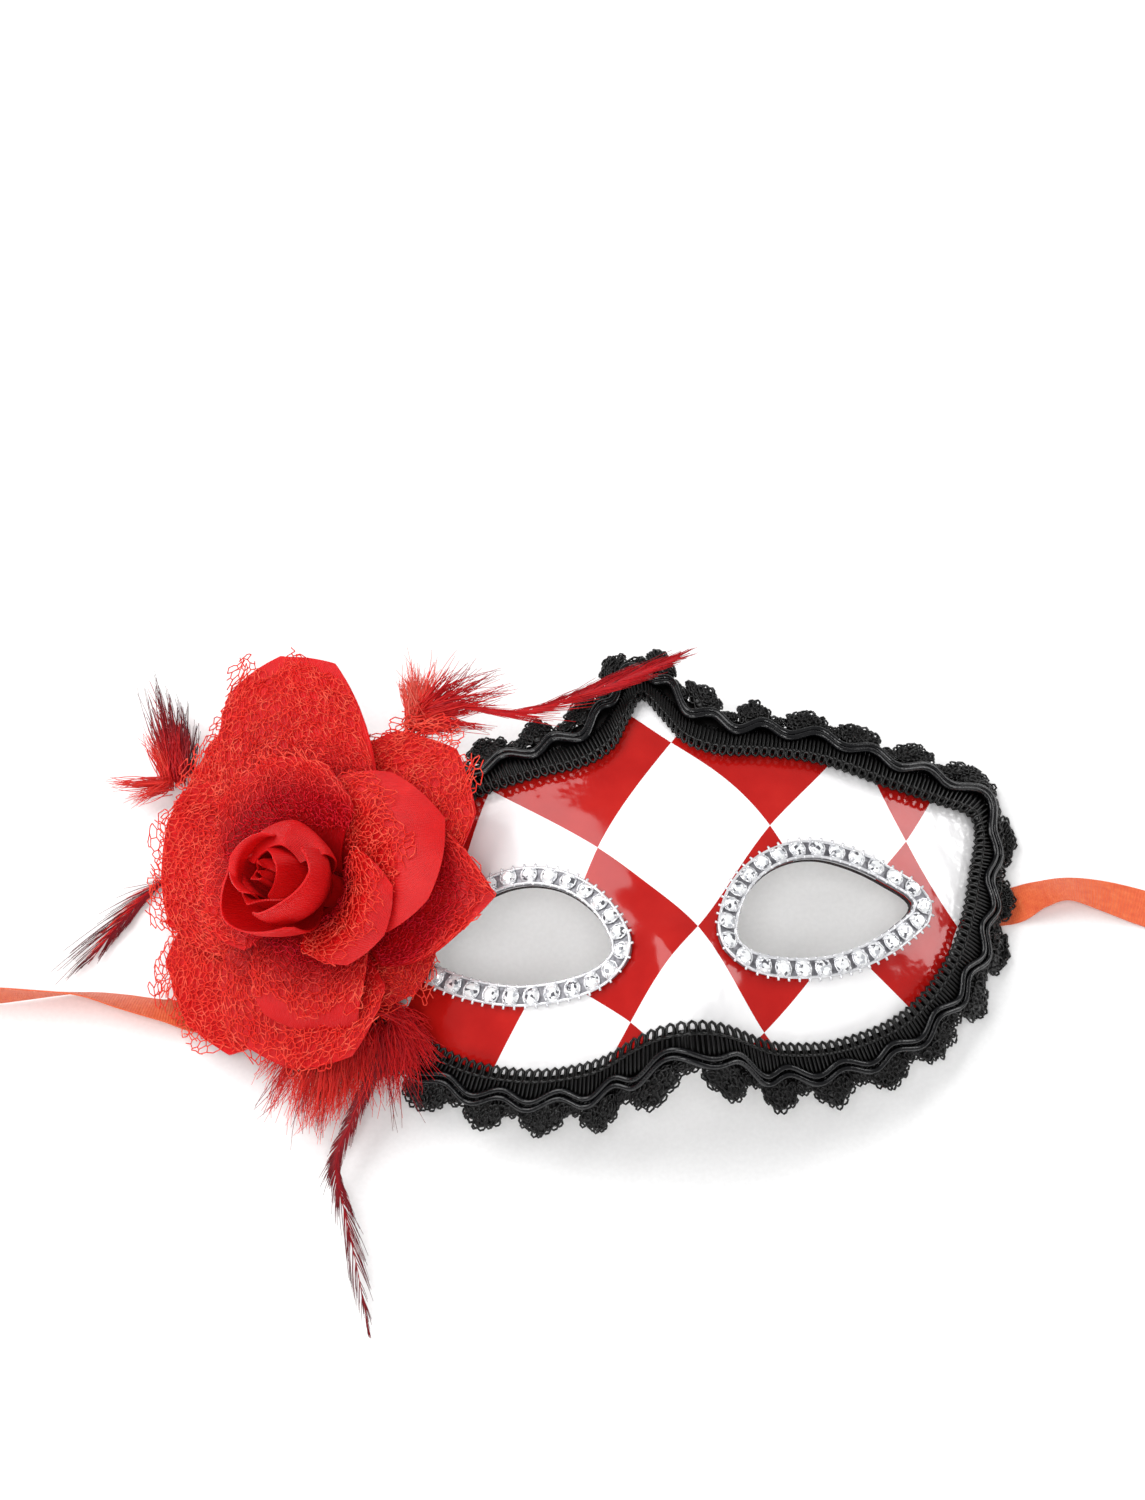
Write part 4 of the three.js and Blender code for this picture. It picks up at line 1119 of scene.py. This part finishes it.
def petal_ripple(row, across, along):
    """Soft creases of the pressed cloth, which grow towards the petal's edge."""
    name, angle, _, half = row[:4]
    phase = angle * PHASE_RATE
    swell = np.sin(SWELL_RATES[0] * across + phase) * np.sin(SWELL_RATES[1] * along + phase)
    crease = np.abs(np.sin(CREASE_RATES[0] * across + CREASE_RATES[1] * along + 2 * phase)) - CREASE_LEVEL
    share = BUD_RIPPLE_SHARE if name.startswith(("bud", "fold")) else RIPPLE_SHARE
    return np.clip(along, 0, 1) ** RIPPLE_GROWTH * half * share * (swell + crease)


def petal_sheet(row, u, v):
    across = 1 - 2 * u
    return petal_place(row, across, v, petal_ripple(row, across, v))


def mark_root_shade(piece, row, along):
    """Marks how much painted shade darkens each point of a petal or its net, towards its root."""
    mark_points(piece, "root_shade", np.clip((row[-1] - along) / ROOT_SHADE_FADE + 0.5, 0, 1))


def honeycomb(reach, cell):
    """Nodes and edges of a six-sided net over a square of twice the reach."""
    step = math.sqrt(3) * cell
    rise = 1.5 * cell
    rows = int(reach / rise)
    columns = int(reach / step)
    row, column = np.meshgrid(np.arange(-rows, rows + 1), np.arange(-columns, columns + 1), indexing="ij")
    low = np.stack([(column + (row % 2) / 2) * step, row * rise], axis=-1).reshape(-1, 2)
    high = low + [step / 2, cell / 2]
    apart = np.linalg.norm(low[:, None] - high[None], axis=-1)
    longest_strand = 1.05 * cell
    ends = np.argwhere(apart < longest_strand)
    return np.vstack([low, high]), ends + [0, len(low)]


def net_layer(row, turned, raised, dice):
    """Crumpled net over one petal, which overhangs its edges raggedly."""
    name, _, length, half = row[:4]
    begin, end, slant = row[12:15]
    spin = math.radians(turned)
    flat = net_nodes @ np.array([[math.cos(spin), -math.sin(spin)], [math.sin(spin), math.cos(spin)]])
    phases = dice.uniform(0, 2 * np.pi, 6)
    x, y = flat.T
    sway = np.sin(SWAY_RATES[0] * y + phases[0]) + np.sin(SWAY_RATES[1] * x + phases[1])
    bunch = np.sin(BUNCH_RATES[0] * y + BUNCH_SWING * np.sin(BUNCH_RATES[1] * x) + phases[4])
    pull = np.stack([sway, np.sin(SWAY_RATES[2] * x + phases[2]) + BUNCH_SHARE * bunch], axis=-1)
    flat = flat + NET_PULL * pull + dice.normal(0, NET_JITTER, flat.shape) + [0, length / 2]
    along = flat[:, 1] / length
    across = flat[:, 0] / petal_width(half, along)
    ragged = RAG_SHARES[0] * np.sin(across * RAG_RATES[0] + phases[3])
    ragged += RAG_SHARES[1] * np.sin(along * RAG_RATES[1] + phases[4])
    reach = end + slant * np.clip(across, -NET_PAST, NET_PAST)
    side = NET_SIDE + np.maximum(reach - 1, 0)
    kept = (along > begin + ragged) & (along < reach + ragged) & (np.abs(across) < side + ragged)
    folds = np.sin(FOLD_RATES[0] * x + FOLD_RATES[1] * y + phases[5])
    folds *= np.sin(FOLD_RATES[2] * y - FOLD_RATES[3] * x + phases[0])
    lift = petal_ripple(row, across, along) + raised + NET_FOLDS * folds
    lift = np.maximum(lift + dice.normal(0, NET_FUZZ, len(x)), PETAL_CLOTH / 2 + NET_GAP)
    places = petal_place(row, across, np.clip(along, NET_ROOT, NET_PAST), lift)
    strands = net_edges[kept[net_edges].all(axis=1)]
    layer = thread_mesh("rose_net_" + name, places[strands], NET_STRAND, NET_SIDES)
    mark_root_shade(layer, row, np.repeat(along[strands].ravel(), NET_SIDES))
    return layer


net_nodes, net_edges = honeycomb(NET_REACH, NET_CELL)
rose_net, net_tree, net_shader = finish_named("rose_net", Roughness=0.5, Specular_IOR_Level=0.2)
net_reds = [(0.28, 224, 32, 26), (0.5, 238, 62, 48), (0.75, 248, 102, 80)]
dye_with_root_shade(net_tree, net_shader, grain_of(net_tree, scale=320.0, detail=4.0), net_reds)

net_dice = np.random.default_rng(11)
petal_lines = np.repeat(np.linspace(0, 1, PETAL_LINES + 1), PETAL_COLUMNS + 1)
for row in PETAL_ROWS:
    name, _, length, half = row[:4]
    net_end = row[13]
    petal = laid_grid(
        "rose_cloth_" + name,
        PETAL_COLUMNS,
        PETAL_LINES,
        lambda u, v: petal_sheet(row, u, v),
        (2 * half, length),
    )
    mark_root_shade(petal, row, petal_lines)
    apply_modifier(petal, "SOLIDIFY", thickness=PETAL_CLOTH * MM, offset=0)
    smooth(petal, degrees=60)
    petal.data.materials.append(rose_cloth)
    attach(petal, "root")
    if "fold" not in name:
        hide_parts("rose_petal_" + name)
    if net_end:
        layers = [net_layer(row, turned, raised, net_dice) for turned, raised in NET_LAYERS]
        net = join_pieces("rose_net_" + name, layers)
        net.data.materials.append(rose_net)
        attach(net, "root")


# Feathers: dyed cock hackles and down, their quills pushed in under the petals and glued to the stem.
# Each has a fine quill, narrow vanes of loose barbs, and locks of down or barbs that cling together.
FEATHER_LOWEST = 0.4
FEATHER_SIDES = 3
QUILL_RADIUS = 0.4
QUILL_TAPER = 0.75
QUILL_POINTS = 48
QUILL_TONE = 0.42
QUILL_GAP = 0.5
# A taper is the share of a thread's radius at its root, and what it loses by the tip
BARB_RADIUS = 0.13
BARB_TAPER = (1.1, 0.7)
BARB_POINTS = 6
BARB_TRIMS = (0.6, 1.1)
BARB_BOW = (0.45, 0.7)
BARB_STRAY = 0.3
BARB_TONES = 0.05
VANE_END = 1.05
VANE_TAPER = 4
DOWN_RADIUS = 0.14
DOWN_TAPER = (1.3, 0.9)
LOCK_POINTS = 7
LOCK_TRIMS = (0.45, 1.03)
LOCK_ROOT = (0.4, 0.5)
LOCK_FLATTEN = [1, 1, 0.6]
LOCK_BOW = 0.04
LOCK_RISE = [0, 0, 0.8]
LOCK_TONES = 0.06
# Spines: x, y, z after the quill's foot on the stem. Vanes: stretch of the spine, side, barbs, least
# and most lean in degrees, reach to the side, tones at root and tip. Locks: start, tip, strands,
# width at the tip, tones at root and tip. Tone 0 is almost black, 0.6 red and 1 pale.
FEATHERS = {
    "left": {
        "node": "feather_tuft_left",
        "spine": [(-101, 45, 10.5), (-114, 60, 6.8), (-121, 78, 7.5), (-127, 97, 8.5)],
        "vanes": [(0.55, 0.9, 1, 20, 6, 14, 1.6, 0.5, 0.3), (0.55, 0.9, -1, 20, 6, 14, 1.6, 0.6, 0.4)],
        "locks": [
            ((-120.8, 69, 7), (-121, 82, 9), 300, 1.5, 0.54, 0.52),
            ((-119, 70, 8), (-118.6, 81, 9.5), 90, 1.0, 0.44, 0.4),
            ((-117.5, 70, 9), (-115, 83, 10), 16, 0.5, 0.14, 0.05),
            ((-118.5, 76, 9), (-118.2, 88.5, 10), 14, 0.7, 0.3, 0.05),
            ((-120, 78, 9), (-119.6, 90.5, 10), 12, 0.5, 0.4, 0.06),
            ((-121.5, 76, 9), (-122.3, 94, 9.5), 30, 0.4, 0.6, 0.14),
            ((-122.5, 74, 8), (-125.5, 99, 9), 22, 0.3, 0.66, 0.2),
            ((-123.5, 73, 8), (-128.3, 95, 9), 12, 0.25, 0.7, 0.22),
            ((-124, 72, 7), (-131, 96, 8), 8, 0.25, 0.72, 0.24),
            ((-123.5, 69, 6), (-128.6, 82, 7), 90, 1.3, 0.72, 0.84),
            ((-123.5, 69, 6), (-126, 86, 7), 80, 1.1, 0.68, 0.8),
            ((-124, 67.5, 6), (-139.4, 70, 4.5), 60, 0.9, 0.68, 0.84),
            ((-124, 67, 6), (-133.5, 64, 4.5), 50, 1.2, 0.7, 0.86),
        ],
    },
    "hackle": {
        "node": "hackle_left",
        "spine": [(-108, 37, 4.6), (-124, 43, 1.6), (-137, 33.5, 1.5), (-148, 20.5, 1.5)],
        "vanes": [
            (0.56, 0.97, 1, 36, 9, 15, 4.0, 0.3, 0.12),
            (0.56, 0.95, 1, 44, 8, 13, 1.8, 0.5, 0.86),
            (0.3, 0.86, -1, 170, 9, 17, 2.2, 0.34, 0.3),
        ],
        "locks": [],
    },
    "top": {
        "node": "feather_tuft_top",
        "spine": [(-66, 50, 29), (-55.5, 67, 36), (-32, 62.5, 38.5), (-10.5, 67, 39), (13.5, 75.5, 37.5)],
        "vanes": [
            (0.4, 0.66, 1, 70, 3, 8, 1.1, 0.58, 0.6),
            (0.4, 0.66, -1, 70, 3, 8, 1.3, 0.58, 0.6),
            (0.56, 0.8, -1, 44, 9, 17, 3.4, 0.56, 0.42),
            (0.56, 0.78, 1, 30, 6, 12, 1.4, 0.56, 0.42),
            (0.7, 0.97, 1, 130, 7, 13, 2.2, 0.48, 0.5),
            (0.7, 0.97, -1, 130, 7, 13, 2.4, 0.46, 0.52),
        ],
        "locks": [
            ((-58, 65, 34), (-57.5, 76, 36), 320, 2.4, 0.88, 0.97),
            ((-58, 66, 35), (-57.3, 81, 36), 50, 1.2, 0.88, 0.95),
            ((-58, 66, 35), (-61, 78, 35.5), 50, 1.2, 0.88, 0.95),
            ((-57, 66, 35), (-52.5, 78.5, 37), 70, 1.6, 0.86, 0.9),
            ((-58, 64, 34.5), (-50, 64.5, 36), 160, 2.0, 0.76, 0.8),
            ((-57, 67, 36), (-40.7, 79, 37), 26, 1.2, 0.72, 0.4),
            ((-57, 67, 36), (-46, 78, 37), 40, 1.6, 0.76, 0.6),
            ((-56, 67, 36), (-36, 75.5, 37), 26, 1.2, 0.7, 0.4),
            ((-56, 66, 36), (-33, 70, 37.5), 40, 1.2, 0.68, 0.5),
            ((-56, 65, 36), (-38, 66.5, 37.5), 50, 1.2, 0.66, 0.62),
            ((-56, 64, 36), (-39, 59.5, 36.5), 40, 1.0, 0.68, 0.6),
            ((-57, 63, 35), (-47.4, 59.5, 36), 60, 1.2, 0.66, 0.7),
        ],
    },
    "bottom": {
        "node": "feather_tuft_bottom",
        "spine": [
            (-77.5, 2, 18),
            (-74.5, -16, 18.5),
            (-83, -32, 13.5),
            (-88.6, -43, 9.5),
            (-87.4, -56, 7),
            (-85.6, -70, 5.8),
            (-84, -87.5, 4.5),
        ],
        "vanes": [
            (0.24, 0.66, 1, 260, 16, 24, 1.7, 0.38, 0.3),
            (0.24, 0.66, -1, 260, 16, 24, 2.3, 0.38, 0.3),
            (0.48, 0.7, -1, 22, 12, 18, 2.8, 0.34, 0.14),
            (0.52, 0.66, 1, 14, 14, 20, 2.6, 0.36, 0.16),
            (0.64, 0.93, 1, 26, 8, 13, 2.4, 0.36, 0.18),
            (0.64, 0.93, -1, 26, 8, 13, 2.4, 0.36, 0.18),
            (0.9, 0.985, 1, 22, 4, 8, 0.9, 0.34, 0.16),
            (0.9, 0.985, -1, 22, 4, 8, 0.9, 0.34, 0.16),
        ],
        "locks": [
            ((-96, -9, 15), (-107, -20, 12), 40, 1.6, 0.62, 0.8),
            ((-93, -10, 16), (-103, -27, 11), 90, 2.4, 0.62, 0.76),
            ((-90, -11, 16), (-97.5, -31, 11), 150, 2.6, 0.62, 0.82),
            ((-87, -12, 17), (-93, -34, 11), 150, 2.4, 0.62, 0.84),
            ((-84, -12, 17), (-88.5, -33, 12), 160, 2.4, 0.62, 0.84),
            ((-80, -12, 17), (-84.6, -32, 12), 130, 2.4, 0.6, 0.8),
            ((-77, -12, 18), (-79, -28, 14), 170, 2.6, 0.58, 0.76),
            ((-73, -12, 19), (-73, -30, 15), 110, 2.4, 0.54, 0.64),
            ((-70, -12, 20), (-67, -27, 18), 130, 2.4, 0.54, 0.62),
            ((-69, -11, 20), (-62, -23, 21), 130, 2.2, 0.52, 0.6),
            ((-72, -8, 21), (-64, -17, 23), 160, 2.4, 0.52, 0.6),
            ((-94, -14, 15), (-108, -29, 11), 9, 1.0, 0.6, 0.3),
            ((-92, -16, 14), (-98.5, -38.5, 12), 9, 1.0, 0.6, 0.3),
            ((-89, -16, 14), (-93.5, -40, 12), 9, 1.0, 0.6, 0.3),
            ((-74, -16, 17), (-72.5, -39, 14), 7, 0.9, 0.5, 0.25),
            ((-71, -16, 18), (-66, -35, 15), 7, 0.9, 0.5, 0.25),
        ],
    },
}

dyed_feather, feather_tree, feather_shader = finish_named(
    "dyed_feather", Roughness=0.5, Specular_IOR_Level=0.3
)
feather_tone = add_node(feather_tree, "ShaderNodeAttribute", attribute_name="tone").outputs["Fac"]
feather_reds = [
    (0.0, 26, 4, 9),
    (0.3, 112, 14, 26),
    (0.6, 198, 8, 17),
    (0.82, 232, 48, 36),
    (1.0, 240, 118, 100),
]
feather_red = colour_ramp(feather_tree, feather_tone, feather_reds)
set_inputs(feather_tree, feather_shader, {"Base Color": feather_red})


def toned_threads(paths, radii, tones):
    """Thin threads with a dye tone for each thread and point."""
    paths[..., 2] = np.maximum(paths[..., 2], FEATHER_LOWEST)
    piece = thread_mesh("barbs", paths, radii, FEATHER_SIDES)
    spread = np.clip(np.broadcast_to(tones, paths.shape[:2]), 0, 1)
    mark_points(piece, "tone", np.repeat(spread.ravel(), FEATHER_SIDES))
    return piece


def bowed(starts, middles, ends, points):
    """Curved threads from starts to ends, pulled towards their middles."""
    t = np.linspace(0, 1, points)[:, None]
    return starts[:, None] * (1 - t) ** 2 + 2 * middles[:, None] * t * (1 - t) + ends[:, None] * t**2


def feather_vane(spine, stretch, dice):
    first, last, hand, barbs, lean_low, lean_high, aside, root_tone, tip_tone = stretch
    near = 0.01
    turns = np.sort(dice.uniform(first, last, barbs))
    roots = spline(spine, False, turns)
    ahead = unit(spline(spine, False, np.minimum(turns + near, 1)) - spline(spine, False, turns - near))
    side = hand * unit(np.cross(ahead, [0.0, 0.0, 1.0]))
    lean = np.radians(dice.uniform(lean_low, lean_high, barbs))[:, None]
    taper = np.minimum(1, VANE_TAPER * (VANE_END - turns))[:, None]
    reach = aside / np.sin(lean) * dice.uniform(*BARB_TRIMS, (barbs, 1)) * taper
    tips = roots + (ahead * np.cos(lean) + side * np.sin(lean)) * reach
    tips[:, 2] += dice.normal(0, BARB_STRAY, barbs)
    middles = roots + (ahead * BARB_BOW[0] + side * BARB_BOW[1] * np.sin(lean)) * reach
    fade = np.linspace(0, 1, BARB_POINTS)
    tones = root_tone + (tip_tone - root_tone) * fade + dice.normal(0, BARB_TONES, (barbs, 1))
    radii = BARB_RADIUS * (BARB_TAPER[0] - BARB_TAPER[1] * fade)
    return toned_threads(bowed(roots, middles, tips, BARB_POINTS), radii, tones)


def feather_lock(start, tip, strands, width, root_tone, tip_tone, dice):
    root_width = LOCK_ROOT[0] + LOCK_ROOT[1] * width
    starts = np.array(start, float) + dice.normal(0, root_width, (strands, 3))
    ends = np.array(tip, float) + dice.normal(0, width, (strands, 3)) * LOCK_FLATTEN
    ends = starts + (ends - starts) * dice.uniform(*LOCK_TRIMS, (strands, 1))
    bow = LOCK_BOW * (1 + width) * np.linalg.norm(ends - starts, axis=1)[:, None]
    middles = (starts + ends) / 2 + dice.normal(0, 1, (strands, 3)) * bow + LOCK_RISE
    fade = np.linspace(0, 1, LOCK_POINTS)
    tones = root_tone + (tip_tone - root_tone) * fade + dice.normal(0, LOCK_TONES, (strands, 1))
    radii = DOWN_RADIUS * (DOWN_TAPER[0] - DOWN_TAPER[1] * fade)
    return toned_threads(bowed(starts, middles, ends, LOCK_POINTS), radii, tones)


feather_dice = np.random.default_rng(23)
quill_turns = np.linspace(0, 1, QUILL_POINTS)
quill_radii = QUILL_RADIUS * (1 - QUILL_TAPER * quill_turns)
for name, feather in FEATHERS.items():
    away = np.array(feather["spine"][0], float) - ROSE_BASE
    away = unit(away - rose_up * (away @ rose_up))
    foot = ROSE_BASE + away * (STEM_RADIUS + QUILL_GAP) + rose_up * QUILL_GAP
    spine = np.vstack([foot, feather["spine"]])
    quill = spline(spine, False, quill_turns)[None]
    pieces = [toned_threads(quill, quill_radii, np.full(QUILL_POINTS, QUILL_TONE))]
    pieces += [feather_vane(spine, stretch, feather_dice) for stretch in feather["vanes"]]
    pieces += [feather_lock(*lock, feather_dice) for lock in feather["locks"]]
    plume = join_pieces("plume_" + name, pieces)
    plume.data.materials.append(dyed_feather)
    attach(plume, "root")
    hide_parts(feather["node"])


# Table and studio light: a white paper sweep under a large soft light at the upper left, behind the
# mask, with weaker soft boxes in front and at the right whose shapes show in the gloss of the film.
PAPER_SIZE = 6.0
PAPER_DROP = 0.0002
STUDIO_GLOW = 0.33
# name, place in metres, width, height, watts; each is aimed at the origin
SOFT_BOXES = [
    ("key_light", (-0.68, 0.48, 1.18), 1.4, 1.0, 18.0),
    ("front_light", (-0.1, -0.55, 1.25), 0.5, 0.5, 8.0),
    ("front_card", (0.0, -1.2, 0.4), 1.2, 0.5, 4.0),
    ("right_light", (1.15, 0.35, 0.35), 0.7, 0.35, 4.0),
]
bpy.ops.mesh.primitive_plane_add(size=PAPER_SIZE, location=(0, 0, -PAPER_DROP))
paper_sweep = bpy.context.object
paper_sweep.name = "paper_sweep"
bpy.ops.object.transform_apply(location=True)
paper_whites = [(0.3, 243, 243, 243), (0.7, 248, 248, 248)]
paper_sweep.data.materials.append(grained("white_paper", 900.0, 3.0, paper_whites, Roughness=0.7))

for name, place, width, height, watts in SOFT_BOXES:
    box = bpy.data.lights.new(name, "AREA")
    box.shape = "RECTANGLE"
    box.size = width
    box.size_y = height
    box.energy = watts
    lamp = bpy.data.objects.new(name, box)
    bpy.context.scene.collection.objects.link(lamp)
    lamp.location = place
    lamp.rotation_euler = (-Vector(place)).to_track_quat("-Z", "Y").to_euler()
studio = bpy.data.worlds.new("white_studio")
studio.use_nodes = True
glow = {"Color": (1.0, 1.0, 1.0, 1.0), "Strength": STUDIO_GLOW}
set_inputs(studio.node_tree, studio.node_tree.nodes["Background"], glow)
bpy.context.scene.world = studio
bpy.context.scene.view_settings.view_transform = "Standard"
